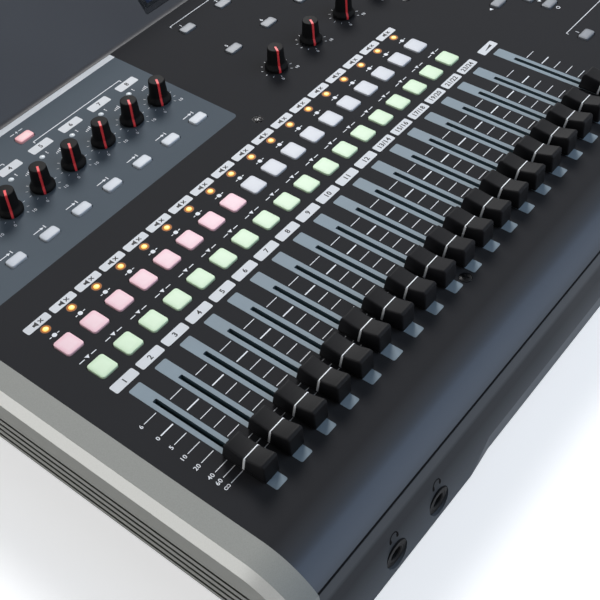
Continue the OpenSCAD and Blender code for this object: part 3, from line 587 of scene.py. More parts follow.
# %% Numbers as shapes
def glyphs(words, height, low, high, side=0.0, weight=0.012):
    """Numbers as thin plates: flat faces at the high level, scaled to a height, with a skirt to the low one.
    side is -1, 0 or 1 for text that starts, centres or ends at its place, and weight thickens the strokes."""
    curve = bpy.data.curves.new("number", "FONT")
    curve.body, curve.align_y = words, "CENTER"
    curve.align_x = {-1: "LEFT", 0: "CENTER", 1: "RIGHT"}[int(side)]
    curve.resolution_u = 3
    curve.extrude = 0.1
    curve.offset = weight
    curve.space_character = 1.08
    holder = add_object("number", curve)
    mesh = bpy.data.meshes.new_from_object(holder.evaluated_get(bpy.context.evaluated_depsgraph_get()))
    points = np.empty(len(mesh.vertices) * 3)
    mesh.vertices.foreach_get("co", points)
    points = points.reshape(-1, 3)
    mesh.calc_loop_triangles()
    faces = np.empty(len(mesh.loop_triangles) * 3, int)
    mesh.loop_triangles.foreach_get("vertices", faces)
    digit_height = 0.69
    flat = points[:, :2] * height / digit_height
    flat[:, 1] -= (flat[:, 1].max() + flat[:, 1].min()) / 2
    level = np.where(points[:, 2] > 0, high, low)
    bpy.data.objects.remove(holder)
    bpy.data.curves.remove(curve)
    bpy.data.meshes.remove(mesh)
    return outward((np.column_stack([flat, level]), [faces.reshape(-1, 3)]))


def ribbon(path, width, low, high):
    """A closed line of ink: a plate with a window.
    Its edges are the path moved half a width out and half a width in along its normals."""
    edge = normals(path) * width / 2
    return window_slab(path + edge, path - edge, low, high)


def endless(width, low, high):
    """The endless sign: two rings side by side, each a circle a little widened, that meet in the middle."""
    ring = disc(width / 4, 18) * [1.08, 1.0]
    line = ribbon(ring, width * 0.13, low, high)
    return repeat(line, [[-width / 4, 0, 0], [width / 4, 0, 0]])


# %% Fader scales
mark_rows = select_row - np.array([34.1, 43.2, 50.3, 57.3, 64.3, 71.3, 75.3, 79.3])
mark_words = ("6", "0", "5", "10", "20", "40", "60")
mark_x = np.append(channel_x - pitch / 2, [channel_x[-1] + pitch / 2, master_x + pitch / 2])
mark = slab(rounded_rect(7.0, 0.34, 0.1, 2), *ink)
zero_mark = slab(rounded_rect(7.0, 0.62, 0.1, 2), *ink)
number_edge = channel_x[0] - 12.0
scale_print = laid(
    (mark, mark_x, np.delete(mark_rows, 1)), (zero_mark, mark_x, mark_rows[1]),
    *((glyphs(word, 1.95, *ink, 1), number_edge, row) for word, row in zip(mark_words, mark_rows)),
    (endless(2.5, *ink), number_edge - 1.25, mark_rows[-1]))
make_piece("fader_scales", join(scale_print), white_ink, case, "deck_black")
print(len(mark_x), "scales of", len(mark_rows), "marks")

# %% Label fields
number_row, mute_row = select_row - 12.55, select_row + 39.75
input_row, stripe_row = select_row + 126.7, select_row + 151.2
field_w, field_middle = input_field_right - input_field_left, (input_field_left + input_field_right) / 2
label_rows = (
    ((13.2, 5.1, 0.8, 4), fader_x, number_row), ((13.4, 4.5, 0.8, 4), channel_x, mute_row),
    ((13.3, 5.4, 0.8, 4), input_x, input_row), ((field_w, 4.0, 0.4, 3), field_middle, stripe_row))
labels = laid(*((slab(rounded_rect(*size), *ink), xs, row) for size, xs, row in label_rows))
make_piece("label_fields", join(labels), pale_ink, case, "deck_black")

# %% Dark print on the label fields
single_channels = 12
pairs = [f"{n}/{n + 1}" for n in range(single_channels + 1, 2 * channels - single_channels, 2)]
channel_words = [str(n) for n in range(1, single_channels + 1)] + pairs
numbered = [(word, x, number_row) for word, x in zip(channel_words, channel_x)]
numbered += [(str(n + 1), x, input_row) for n, x in enumerate(input_x)]
dark = laid(*((glyphs(word, 2.6, *over_ink, weight=0.022), x, row) for word, x, row in numbered))
speaker = np.array([[-2.4, -0.65], [-1.3, -0.65], [0.0, -1.6], [0.0, 1.6], [-1.3, 0.65], [-2.4, 0.65]])
cross_bar = rounded_rect(2.7, 0.5, 0.1, 2)
mute_sign = join([slab(speaker, *over_ink)] + [
    slab(turned(cross_bar, angle) + [2.0, 0], *over_ink) for angle in (np.pi / 4, -np.pi / 4)])
level_wedge = np.array([[-3.4, -0.7], [3.4, -0.7], [3.4, 0.9]])
dark += laid((mute_sign, channel_x, mute_row), (slab(level_wedge, *over_ink), master_x, number_row))
make_piece("label_numbers", join(dark), dark_ink, case, "deck_black")
print(len(channel_words), "channel labels, the last", channel_words[-1])

# %% [markdown]
# Small signs stand where a maker would put the name of a control: a dot over a record key, a pointer over
# a select key, an arrow over a source key, and plain numbers at the ends of a knob's travel. They are flat
# outlines from a few corner points, repeated over a whole row at once.

# %% Signs
def bar(width, depth, x=0.0, y=0.0):
    """A bar of ink with slightly round corners."""
    return slab(rounded_rect(width, depth, min(width, depth) * 0.2, 2) + [x, y], *ink)


def pointer(width, depth, x=0.0, y=0.0, turn=0):
    """A triangle that points to the front, turned by quarter turns."""
    corners = np.array([[-width / 2, depth / 2], [0, -depth / 2], [width / 2, depth / 2]])
    return slab(turned(corners, turn * np.pi / 2) + [x, y], *ink)


rec_sign = join([slab(disc(1.15), *ink), bar(1.2, 0.45, -2.2), bar(1.2, 0.45, 2.2)])
select_sign = join([pointer(2.4, 1.9), bar(3.0, 0.45, -3.4), bar(3.0, 0.45, 3.4)])
source_sign = join([pointer(1.9, 1.6, 1.0, 0.0, 1), bar(4.4, 0.5, -2.0), bar(0.5, 2.2, 2.6)])
rec_sign_row, select_sign_row, source_sign_row = select_row + 28.9, select_row + 8.7, select_row + 81.8
signs = laid(
    (rec_sign, channel_x, rec_sign_row), (select_sign, channel_x, select_sign_row),
    (source_sign, input_x - 0.5, source_sign_row))

# %% Knob dials
knob_names = [f"trim_knob_{n}" for n in range(1, inputs + 1)]
knob_names += ["pan_knob", "tone_knob", "monitor_knob", "phones_knob"]
knob_places = np.array([[*middle(name)[:2], deck] for name in knob_names])
dial_start, dial_end, dial_marks = np.radians(238), np.radians(-58), 11


def mark_ring(mark, radius, angles):
    """Marks in a ring: the outline turned to each angle and moved out by the radius."""
    return join([slab(turned(mark, a) + radius * rays(a), *ink) for a in angles])


dial = mark_ring(rounded_rect(1.2, 0.24, 0.05, 2), 8.1, np.linspace(dial_start, dial_end, dial_marks))
dial_ends = [
    repeat(glyphs(word, 1.7, *ink), [place])
    for word, place in (("0", [-5.4, -8.9, 0]), ("10", [6.9, -8.6, 0]))]
signs.append(repeat(join([dial] + dial_ends), knob_places))
peak_sign = join([bar(0.5, 1.3, 0, 0.5), slab(disc(0.35, 10) + [0, -0.75], *ink)])
trim_sign = join([bar(0.45, 1.0 + 0.5 * n, -1.6 + 1.1 * n, -0.3 + 0.25 * n) for n in range(4)])
peak_sign_row, trim_sign_row = select_row + 120.4, select_row + 116.2
signs += laid((peak_sign, input_x - 1.6, peak_sign_row), (trim_sign, input_x + 2.6, trim_sign_row))

# %% Brackets over the input groups
bracket_row, bracket_end, bolt_row = select_row + 132.2, select_row + 131.4, select_row + 145.0
bolt = np.array([[-0.2, -1.4], [0.9, 0.35], [0.15, 0.35], [0.5, 1.4], [-0.8, -0.3], [0.0, -0.3]])
for first, last in ((0, 3), (4, 7)):
    span = input_x[last] - input_x[first]
    signs += laid(
        (bar(span, 0.5), (input_x[first] + input_x[last]) / 2, bracket_row),
        (bar(0.5, 1.6), input_x[first:last + 1:3], bracket_end), (slab(bolt, *ink), input_x[first], bolt_row),
        (bar(2.6, 0.45), input_x[first] + np.array([-2.8, 2.8]), bolt_row))
make_piece("deck_signs", join(signs), white_ink, case, "deck_black")
print(len(knob_places), "dials,", dial_marks, "marks each")

# %% [markdown]
# ## Keys
# A key is a soft pillow of translucent plastic. Its skin is a stack of rings: the outline climbs from the
# foot, turns in over a quarter circle at the brow, then shrinks to its middle while it swells by one minus
# the square of the distance. Each ring also stores that distance, so the finish can glow at the middle.

# %% Key shape
def key_cap(width, depth, corner, brow, crown, fillet, foot=-2.2):
    """Rings of round rectangles, set in by fillet * (1 - cos t) while the height gains fillet * sin t.
    Then they are scaled by s as the height gains crown * (1 - s * s)."""
    turn = np.linspace(0, np.pi / 2, 6)
    inset = np.append(0, fillet * (1 - np.cos(turn)))
    height = np.append(foot, brow - fillet + fillet * np.sin(turn))
    shoulder = np.stack([
        at_height(rounded_rect(width - 2 * i, depth - 2 * i, max(corner - i, 0.2)), h)
        for i, h in zip(inset, height)])
    s = np.linspace(0.88, 0.08, 7)
    top = shoulder[-1][None] * s[:, None, None]
    top[:, :, 2] = (brow + crown * (1 - s ** 2))[:, None]
    swell = np.repeat(np.concatenate([np.ones(len(inset)), s]), shoulder.shape[1])
    return outward(loft(np.concatenate([shoulder, top]))), swell


def lit_plastic(name, rim, core, glow, rough=0.45):
    """Translucent plastic: the stored distance from the middle blends core into rim, for colour and glow."""
    finish = Finish(name, rough, 0.35)
    reader = finish.node("ShaderNodeAttribute")
    reader.attribute_name = "swell"
    far = finish.remap(reader.outputs["Fac"], 0.0, 1.0, 0.55, 1.0)
    cloud = finish.remap(finish.noise(700, 2.0), -0.12, 0.12)
    colour = finish.blend(finish.math("ADD", far, cloud, True), core, rim)
    finish.set(Base_Color=colour, Emission_Color=colour, Emission_Strength=glow)
    finish.grain(1500, 0.008, 0.3)
    return finish.material


rec_lit = lit_plastic("rec_key_lit", (232, 188, 197), (237, 204, 210), 0.09)
# The unlit record keys and the white keys are off; their faint glow is painted light, brightest at the middle.
rec_unlit = lit_plastic("rec_key_unlit", (195, 197, 203), (205, 207, 212), 0.05)
select_lit = lit_plastic("select_key_lit", (198, 222, 189), (210, 231, 201), 0.09)
white_key = lit_plastic("white_key", (188, 193, 199), (199, 203, 209), 0.05)
phantom_lit = lit_plastic("phantom_key_lit", (240, 172, 176), (244, 204, 203), 0.14)
grey_key = lit_plastic("grey_key", (120, 123, 128), (146, 149, 154), 0.0)


# %% Channel and input keys
def key_piece(name, cap, places, finish, rides, slot, stands_for=()):
    """One piece of many keys or lamps: the shape repeated over its places, its stored distance with it."""
    shape, swell = cap
    return make_piece(
        name, repeat(shape, places), finish, rides, slot, stands_for, swell=np.tile(swell, len(places)))


channel_cap = key_cap(width=9.3, depth=10.4, corner=1.5, brow=0.7, crown=0.1, fillet=0.35)
small_cap = key_cap(width=9.4, depth=5.7, corner=1.45, brow=0.98, crown=0.12, fillet=0.4)
lit_channels = 8
source_row, rear_key_row = select_row + 75.8, select_row + 138.6
key_piece("rec_keys_lit", channel_cap, spots(channel_x[:lit_channels], rec_row), rec_lit,
          "rec_keys", "rec_key", ["rec_keys"])
key_piece("rec_keys_unlit", channel_cap, spots(channel_x[lit_channels:], rec_row), rec_unlit,
          "rec_keys", "rec_key")
key_piece("select_keys_lit", channel_cap, spots(channel_x, select_row), select_lit,
          "select_keys", "select_key", ["select_keys"])
key_piece("source_keys", small_cap, spots(input_x, source_row), white_key,
          "input_keys", "white_key", ["input_keys"])
key_piece("phantom_keys", small_cap, spots(input_x[[0, 4]], rear_key_row), phantom_lit,
          "input_keys", "white_key")
key_shape = channel_cap[0]
print(f"one channel key has {len(key_shape[0])} points and holds {volume(key_shape):.0f} cubic mm")

# %% Control section keys
transport = ["rewind_key", "forward_key", "stop_key", "play_key", "record_key"]
column_x = np.array([middle(name)[0] for name in transport])
soft_x = knob_places[inputs:, 0]
cursor_x, wheel_row, cursor_step = (column_x[0] + column_x[1]) / 2, middle("data_wheel")[1], 12.0
cursor_half = (column_x[1] - column_x[0]) / 2
cursor_steps = np.array([[-1, 0], [1, 0], [0, 1], [0, -1], [0, -2]])
cursor_places = at_height(np.array([cursor_x, wheel_row]) + cursor_steps * [cursor_half, cursor_step], deck)
soft_rows, locate_rows = select_row + np.array([100.0, 134.0]), select_row + np.array([62.0, 88.0])
function_row = select_row - 50.0
menu_places = np.concatenate([
    spots(soft_x, soft_rows), spots(column_x, function_row), spots(column_x, locate_rows), cursor_places,
    spots(column_x[-1], rear_key_row)])
key_piece("menu_keys_grey", small_cap, menu_places, grey_key, "menu_keys", "white_key", ["menu_keys"])
transport_cap = key_cap(width=25.0, depth=14.0, corner=2.0, brow=1.45, crown=0.35, fillet=0.7)
transport_row = middle("play_key")[1]
for name, x in zip(transport, column_x):
    key_piece(f"{name}_cap", transport_cap, spots(x, transport_row), grey_key, name, "transport_key", [name])
print(len(menu_places), "menu keys and", len(transport), "transport keys")

# %% [markdown]
# Transport signs are the plain shapes every recorder shares: double triangles to wind, a square to stop, a
# triangle to play, a dot to record. Each rides on its own key, a hair above the crown.

# %% Transport signs
sign_lift = 1.78
transport_signs = {
    "rewind_key": join([pointer(4, 3.4, -1.8, 0, 3), pointer(4, 3.4, 1.8, 0, 3)]),
    "forward_key": join([pointer(4, 3.4, -1.8, 0, 1), pointer(4, 3.4, 1.8, 0, 1)]),
    "stop_key": bar(4, 4), "play_key": pointer(4.6, 4.2, 0, 0, 1), "record_key": slab(disc(2.1, 28), *ink),
}
red_ink = inked("red_ink", (196, 34, 40), (214, 44, 50), 0.45, 0.4)
for (name, shape), x in zip(transport_signs.items(), column_x):
    finish = red_ink if name == "record_key" else dark_ink
    places = spots(x, transport_row, deck + sign_lift)
    make_piece(f"{name}_sign", repeat(shape, places), finish, name, "transport_key")

# %% [markdown]
# The control section has its own print. Numbers stand behind the keys, brackets join a row into a group,
# triangles point away from the cursor keys, and fine marks run round the data wheel. They are the same thin
# plates as the rest of the white ink, so one mesh holds them all.

# %% Signs of the control section
sign_gap = 5.4
key_rows = (
    (soft_x, soft_rows[1], 1), (soft_x, soft_rows[0], 5), (column_x, locate_rows[1], 1),
    (column_x, locate_rows[0], 6), (column_x, function_row, 1))
control_signs = laid(*(
    (glyphs(str(first + n), 2.1, *ink), x, row + sign_gap)
    for xs, row, first in key_rows for n, x in enumerate(xs)))
for xs, row in ((column_x, locate_rows[1]), (column_x, function_row), (soft_x, soft_rows[1])):
    behind = row + 9.6
    control_signs += laid(
        (bar(xs[-1] - xs[0] + 9.4, 0.4), (xs[0] + xs[-1]) / 2, behind),
        (bar(0.4, 1.6), [xs[0] - 4.5, xs[-1] + 4.5], behind - 0.6))
ring_sign = window_slab(disc(1.2, 24), disc(0.8, 24), *ink)
cursor_signs = [
    pointer(2.4, 2.0, x, y, turn) for x, y, turn in ((-7.6, 0, 3), (7.6, 0, 1), (0, 5.2, 2), (0, -6.0, 0))]
control_signs += [repeat(sign, [place]) for sign, place in zip(cursor_signs, cursor_places)]
control_signs.append(repeat(ring_sign, [cursor_places[4] - [0, 5.6, 0]]))
power_sign = join([ring_sign, bar(0.42, 1.5, 0, 0.9)])
control_signs += laid((power_sign, column_x[-1], rear_key_row + sign_gap))
wheel_marks, wheel_place = 48, np.array([*middle("data_wheel")[:2], deck])
wheel_ring = mark_ring(rounded_rect(1.5, 0.3, 0.05, 2), 30.8, full_turn(wheel_marks))
control_signs.append(repeat(wheel_ring, [wheel_place]))
make_piece("control_signs", join(control_signs), white_ink, case, "deck_black")
print(sum(len(row[0]) for row in key_rows), "numbered keys,", wheel_marks, "marks round the wheel")

# %% [markdown]
# ## Fader caps
# A cap is one profile carried across its width: a saddle with a high front, a low middle where the line
# is, and a lower rear. Its corners are rounded by short curves, and at each side the profile shrinks over
# a quarter circle, which is the soft edge the mould leaves. A lever runs down from it into the slot.

# %% Fader cap shape
cap_w, cap_long, cap_gap = 8.6, 22.0, 0.8
line_y, line_z = -1.3, 8.75
rear_edge, front_edge = np.array([8.4, 9.9]), np.array([-9.3, 11.1])


def half_saddle(edge, bend):
    """Half of the top from its edge to the line: y runs evenly and z = line + (edge - line) * s ** bend."""
    s = np.linspace(1.0, 0.2, 5)
    return np.column_stack([line_y + (edge[0] - line_y) * s, line_z + (edge[1] - line_z) * s ** bend])


def cap_profile():
    """Side view (y, z): flat foot, leaning rear with a bevel, two half saddles to the line, bevelled front."""
    foot = np.array([[-cap_long / 2, cap_gap], [cap_long / 2, cap_gap]])
    rear_bevel, front_bevel = [[9.5, 8.3]], [[-10.6, 10.5]]
    top = np.concatenate([half_saddle(rear_edge, 1.4), [[line_y, line_z]], half_saddle(front_edge, 1.2)[::-1]])
    radius = np.array([0.4, 0.4, 0.8, 0.7] + [1.5] * 9 + [0.5, 0.5])
    return round_corners(np.concatenate([foot, rear_bevel, top, front_bevel]), radius, 6)


def across(profile, width, soft, steps=5):
    """Profile carried over a width along x.
    Within soft of each side it is set in by soft - soft * sin(a) along its normals."""
    a = np.linspace(0, np.pi / 2, steps)
    x = np.concatenate([-width / 2 + soft - soft * np.cos(a), (width / 2 - soft + soft * np.cos(a))[::-1]])
    inset = np.concatenate([soft - soft * np.sin(a), (soft - soft * np.sin(a))[::-1]])
    flat = profile[None] - inset[:, None, None] * normals(profile)[None]
    return skin(x[:, None], flat[..., 0], flat[..., 1])


cap = across(cap_profile(), cap_w, 0.7)
lever = slab(rounded_rect(1.2, 5.0, 0.4, 3), -6.0, cap_gap + 0.4)
fader_shape = join([cap, lever])

# %% White line of the cap
def band(path, normal, side, width, out, into):
    """A strip along a path: at each point four corners, half a width to each side.
    Two lie out along the normal and two lie in the body under it."""
    w = np.array([-1, 1, 1, -1])[None, :, None] * width / 2 * np.asarray(side)[None, None]
    h = np.array([-into, -into, out, out])[None, :, None] * normal[:, None]
    return outward(loft(path[:, None] + w + h))


half_w, line_foot, line_r = cap_w / 2, 1.2, 0.7
line_t = np.linspace(0, np.pi / 2, 5)
left_normal = rays(line_t) * [-1, 1]
left_turn = np.array([line_r - half_w, line_z - line_r]) + line_r * left_normal
left_half = np.concatenate([[[-half_w, line_foot]], left_turn])
left_out = np.concatenate([[[-1, 0]], left_normal])
line_path = np.concatenate([left_half, (left_half * [-1, 1])[::-1]])
line_normal = np.concatenate([left_out, (left_out * [-1, 1])[::-1]])
lean = line_y * (line_path[:, 1] - line_foot) / (line_z - line_foot)
flat_to_space = np.array([[1, 0, 0], [0, 0, 1]])
line_space = line_path @ flat_to_space + lean[:, None] * [0, 1, 0]
cap_line = band(line_space, line_normal @ flat_to_space, [0, 1, 0], 1.0, 0.06, 0.3)

# %% Set the caps on their levers
cap_plastic = moulded("fader_cap_plastic", (13, 13, 15), (18, 18, 21), 0.6, 0.15, 1800, 0.012)
line_white = inked("cap_line_white", (232, 234, 236), (244, 245, 246), 0.45, 0.35)
fader_names = [f"fader_{n}" for n in range(1, channels + 1)] + ["fader_master"]
for name in fader_names:
    x, y = middle(name)[:2]
    make_piece(f"{name}_cap", repeat(fader_shape, [[x, y, deck]]), cap_plastic, name, "fader_cap", [name], 50)
    make_piece(f"{name}_line", repeat(cap_line, [[x, y, deck]]), line_white, name, "fader_cap")
print(len(fader_names), "caps,", len(cap[0]), "points each")

# %% [markdown]
# ## Knobs
# A trim knob is turned: a short upright rim, a bell that sweeps in to the waist, a slightly tapered stem
# and a flat top with a soft edge. Its profile is spun round the axis. The red pointer is a strip that
# follows the same profile from the top down to the rim, so it lies on the knob all the way.

# %% Knob shape
def knob_profile():
    """(radius, height) of a rim, a bell, a stem, a quarter circle and the top.
    The bell's radius is rim - (rim - waist) * (3 t^2 - 2 t^3)."""
    rim, waist = 6.3, 4.8
    t = np.linspace(0, 1, 12)
    bell = np.column_stack([rim - (rim - waist) * (3 * t ** 2 - 2 * t ** 3), 1.8 + 3.0 * t])
    a = np.linspace(0, np.pi / 2, 6)
    edge = np.column_stack([3.8 + 0.5 * np.cos(a), 12.8 + 0.5 * np.sin(a)])
    r = np.linspace(3.3, 0.2, 5)
    top = np.column_stack([r, 13.4 - 0.1 * (r / 3.8) ** 2])
    return np.concatenate([[[rim - 0.3, 0.6], [rim, 0.9]], bell, edge, top])


def spin(profile, steps=48):
    """Profile turned about the upright axis: (r cos, r sin, z) over one turn."""
    ring = rays(full_turn(steps))
    return skin(profile[:, :1] * ring[:, 0], profile[:, :1] * ring[:, 1], profile[:, 1:])


knob_outline = knob_profile()
knob_shaft = spin(np.array([[3.0, -4.0], [3.0, 0.8]]), 24)
knob_shape = join([spin(knob_outline), knob_shaft])
ray_x, ray_y = rays(dial_start)
ray = np.array([[ray_x, ray_y, 0], [0, 0, 1]])
knob_out = normals(knob_outline, closed=False)
knob_pointer = band(knob_outline[1:] @ ray, knob_out[1:] @ ray, [-ray_y, ray_x, 0], 1.15, 0.13, 0.25)

# %% Set the knobs on their shafts
knob_plastic = moulded("knob_plastic", (8, 8, 9), (13, 13, 14), 0.6, 0.12, 1800, 0.01)
pointer_red = inked("pointer_red", (242, 58, 62), (252, 70, 74), 0.45, 0.4)
for name, place in zip(knob_names, knob_places):
    make_piece(f"{name}_body", repeat(knob_shape, [place]), knob_plastic, name, "knob_black", [name], 50)
    make_piece(f"{name}_pointer", repeat(knob_pointer, [place]), pointer_red, name, "knob_black")
print(len(knob_names), "knobs,", len(knob_shape[0]), "points each")

# %% [markdown]
# The data wheel is a broad disc with a fluted rim and a hollow for a fingertip. It is a polar grid: the
# radius is rippled by a cosine on the rim, and the height drops inside the hollow by its depth times a power
# of one minus the square of the distance from the hollow's middle.

# %% Data wheel
wheel_r, wheel_h, rim_w, dish = 28.0, 8.0, 4.0, 1.2
hollow_r, hollow_depth, hollow_off = 7.0, 1.75, 14.8


def wheel_shape(flutes=60, steps=240, soft=1.2, flute=0.006, fluted_rings=6):
    """Rings of (r cos, r sin, z): the rim's r is scaled by 1 + flute * (cos(flutes * turn) - 1).
    The dish drops by 1 - (r / R)^4 of its depth, the hollow by (1 - d^2)^1.5 of its own."""
    turn = full_turn(steps)
    rim = np.array([wheel_r - soft, wheel_h - soft]) + soft * rays(np.linspace(0, np.pi / 2, 7))
    step = np.column_stack([np.linspace(wheel_r - 1.6, wheel_r - rim_w, 4), np.full(4, wheel_h)])
    r = np.linspace(wheel_r - rim_w - 0.5, 0.4, 40)
    inner = np.column_stack([r, wheel_h - dish * (1 - (r / (wheel_r - rim_w)) ** 4)])
    profile = np.concatenate([[[wheel_r - 0.4, 0.7], [wheel_r, 1.1]], rim, step, inner])
    ripple = np.where(np.arange(len(profile)) < fluted_rings, flute, 0.0)[:, None] * (np.cos(flutes * turn) - 1)
    radius = profile[:, :1] * (1 + ripple)
    x, y = radius * np.cos(turn), radius * np.sin(turn)
    off = ((x ** 2 + (y - hollow_off) ** 2) / hollow_r ** 2).clip(0, 1)
    on_top = profile[:, 1:] > wheel_h - dish - 0.1
    z = profile[:, 1:] - np.where(on_top, hollow_depth * (1 - off) ** 1.5, 0)
    return skin(x, y, z)


wheel_plastic = moulded("wheel_plastic", (30, 31, 33), (38, 39, 41), 0.45, 0.4, 1500, 0.01)
wheel_axle = spin(np.array([[3.0, -4.0], [3.0, 1.0]]), 24)
make_piece("data_wheel_disc", repeat(join([wheel_shape(), wheel_axle]), [wheel_place]), wheel_plastic,
           "data_wheel", "wheel", ["data_wheel"], 50)

# %% [markdown]
# ## Lamps
# Each lamp is a small lens that stands just out of the deck. Mute lamps are lit amber, overload lamps are
# off and pale, with a faint painted glow. A lens is a dome: its height falls with the square of the radius.
# The finish is brighter at the middle, read from the same stored distance as on the keys. A thin ring round
# each amber lamp is a painted glow on the deck, fading out to the deck's tone.

# %% Lamps
lamp_r, lamp_crown, lamp_steps, halo_steps = 1.5, 0.4, 20, 24
lamp_s = np.linspace(1, 0.08, 6)
dome = np.column_stack([lamp_r * lamp_s, lamp_crown * (1 - lamp_s ** 2)])
lens = (spin(np.concatenate([[[lamp_r, -2.5]], dome]), lamp_steps),
        np.repeat(np.append(1.0, lamp_s), lamp_steps))
# A painted glow on the deck round each amber lamp, fading out to the deck's tone.
halo = (window_slab(disc(2.5, halo_steps), disc(1.45, halo_steps), -0.02, 0.02),
        np.repeat([1.0, 1.0, 0.0, 0.0], halo_steps))
amber = lit_plastic("amber_lamp", (255, 176, 40), (255, 236, 150), 0.55, 0.3)
# Overload lamps are off; their faint glow is painted light.
clear_lamp = lit_plastic("clear_lamp", (196, 204, 210), (224, 230, 234), 0.05, 0.2)
halo_glow = lit_plastic("lamp_halo", (40, 36, 34), (176, 100, 18), 0.05, 0.6)
mute_lamps = spots(channel_x, select_row + 34.4)
peak_lamps = spots(input_x - 5.3, select_row + 119.8)
key_piece("mute_lamps", lens, mute_lamps, amber, case, "lamp", ["lamps"])
key_piece("peak_lamps", lens, peak_lamps, clear_lamp, case, "lamp")
key_piece("lamp_halos", halo, mute_lamps, halo_glow, case, "lamp")
print(channels, "amber lamps,", inputs, "clear lamps")

# %% [markdown]
# ## Screw heads
# Four black screws hold the deck. Each head is a low dome on a polar grid, and its cross recess is where
# either coordinate is small: there the dome's height is let down.

# %% Screw heads
def screw_head(radius=2.75, rise=0.45, recess=0.42, rings=22, steps=64, twist=0.3, arm=0.4, arm_end=1.5):
    """Dome z = rise * (1 - (r / radius)^2), less the recess in a cross: where |x| or |y| is under arm.
    The cross ends at arm_end from the axis, and the whole head is twisted a little."""
    r = np.append(radius, np.linspace(radius, 0.06, rings))[:, None]
    turn = full_turn(steps) + twist
    x, y = r * np.cos(turn), r * np.sin(turn)
    cross = (np.abs(r[..., None] * rays(turn - twist)).min(axis=-1) < arm) & (r < arm_end)
    proud, foot = 0.02, -0.3
    z = rise * (1 - (r / radius) ** 2) - recess * cross + proud
    z[0] = foot
    return skin(x, y, z)


screw_side, screw_rear = 90.65, 50.5
front_screws = spots([-screw_side, screw_side], fader_low - 13.9)
rear_screws = spots([reach("deck_panel")[0][0] + 184.3, master_x + pitch], select_row + screw_rear)
make_piece("deck_screw_heads", repeat(screw_head(), np.concatenate([front_screws, rear_screws])), black_screw,
           case, "screw", sharp=50)

# %% [markdown]
# ## Deck and tray meet in a seam along the front. A black strip over the roll's edge paints the seam's shadow.
# Deck and tray meet in a seam along the front. A soft black strip over the roll's edge closes it against dust.
# Its side view follows the last degree or two of the roll, a hair proud of it, then drops to the skirt's
# bevel and goes back inside, hidden between the two shells. Carried along the front, it is the dark line.

# %% Seam strip
def carried(profile, low, high):
    """A side view (y, z) carried along x from low to high, closed at both ends."""
    return skin(np.array([[low], [high]]), *profile.T)


seam_y, seam_z = reach("deck_panel")[0][1:]
seam_turn = np.linspace(roll_turn - np.radians(1.5), roll_turn, 6)
seam_ray = np.column_stack([-np.sin(seam_turn), np.cos(seam_turn)])
seam_drop = np.array([[0.3, -1.1], [0.8, -1.4], [2.0, -1.0]]) + [seam_y, seam_z]
roll_axis = [roll_start, deck - roll_r]
seam_profile = np.concatenate([
    (roll_r + 0.05) * seam_ray + roll_axis, seam_drop, (roll_r - 0.6) * seam_ray[::-1][1:] + roll_axis])
# A black strip put where the seam is in shade: a painted shadow line.
seam_rubber = moulded("seam_rubber", (7, 8, 11), (12, 13, 16), 0.8, 0.1, 1600, 0.01)
seam_left, seam_right = (corner[0] for corner in reach("deck_panel"))
make_piece("seam_strip", carried(seam_profile, seam_left, seam_right), seam_rubber, case, "rubber")
print(f"seam at height {seam_z:.2f}")

# %% [markdown]
# ## Sockets
# An input socket takes two kinds of plug: a square flange with a raised rim, and in it a sunk face with a
# jack bore and three contacts. A release tab and two screws sit on the flange. Everything round is a profile
# spun about the plug's axis, and each socket is drawn with z pointing out of its panel, then turned to face
# the rear or the front. The faces stay just inside the solids they stand for.

# %% Socket places
rear_way = np.array([[-1, 0, 0], [0, 0, 1], [0, 1, 0]])
front_way = np.array([[1, 0, 0], [0, 0, 1], [0, -1, 0]])


def facing(shape, way, places):
    """Shape turned so that its x, y and z run along the three rows of a way, then repeated at the places."""
    points, groups = shape
    return repeat((points @ way, groups), places)


def socket_places(node, half, count):
    """Places of a row of equal sockets, evenly between the ends of the node's box less half a socket."""
    low, high = reach(node)
    return np.array([[x, socket_face, socket_row] for x in np.linspace(low[0] + half, high[0] - half, count)])


socket_row = middle("combo_sockets")[2]
socket_face = reach("combo_sockets")[1][1]
combo_half, data_half, jack_half, front_pitch = 13.0, 7.1, 6.8, 30.0
combo_places = socket_places("combo_sockets", combo_half, inputs)
data_places = socket_places("data_sockets", data_half, 4)
rear_jacks = data_places - 4 * (data_places[1] - data_places[0])
front_jacks = reach("line_jacks")[0] + [[jack_half + shift, 0, jack_half] for shift in (front_pitch, 0)]
print(f"sockets at height {socket_row:.1f}, faces at y {socket_face:.2f}")

# %% Input sockets
def soft_square(half_width, half_height, power=9, steps=72):
    """Square with soft corners by angle: r = (|cos / w|^p + |sin / h|^p)^(-1 / p)."""
    ray = rays(full_turn(steps))
    r = (np.abs(ray / [half_width, half_height]) ** power).sum(axis=1) ** (-1 / power)
    return r[:, None] * ray


nickel = moulded("nickel", (150, 150, 148), (172, 172, 170), 0.3, 0.5, 1200, 0.004, 1.0)
flange_plastic = moulded("flange_plastic", (26, 26, 28), (33, 33, 35), 0.42, 0.4, 1400, 0.01)
flange = window_slab(soft_square(combo_half, 15.5), disc(11.0, 72), -3.25, -0.8)
rim = window_slab(disc(11.3, 72), disc(10.4, 72), -3.2, -0.05)
tab = slab(rounded_rect(7.6, 2.6, 0.7) + [0, 13.2], -0.9, -0.35)
sunk_face = spin(np.array([
    [0.05, -18], [3.3, -18], [3.3, -2.3], [3.7, -1.9], [10.5, -1.9], [10.5, -24], [0.05, -24]]))
contact_ray = 7.55 * np.array([[0, -1], [np.sqrt(0.75), 0.5], [-np.sqrt(0.75), 0.5]])
contacts = join([window_slab(disc(1.35, 16) + ray, disc(0.8, 16) + ray, -2.0, -1.8) for ray in contact_ray])
contact_holes = join([slab(disc(0.9, 16) + ray, -1.95, -1.86) for ray in contact_ray])
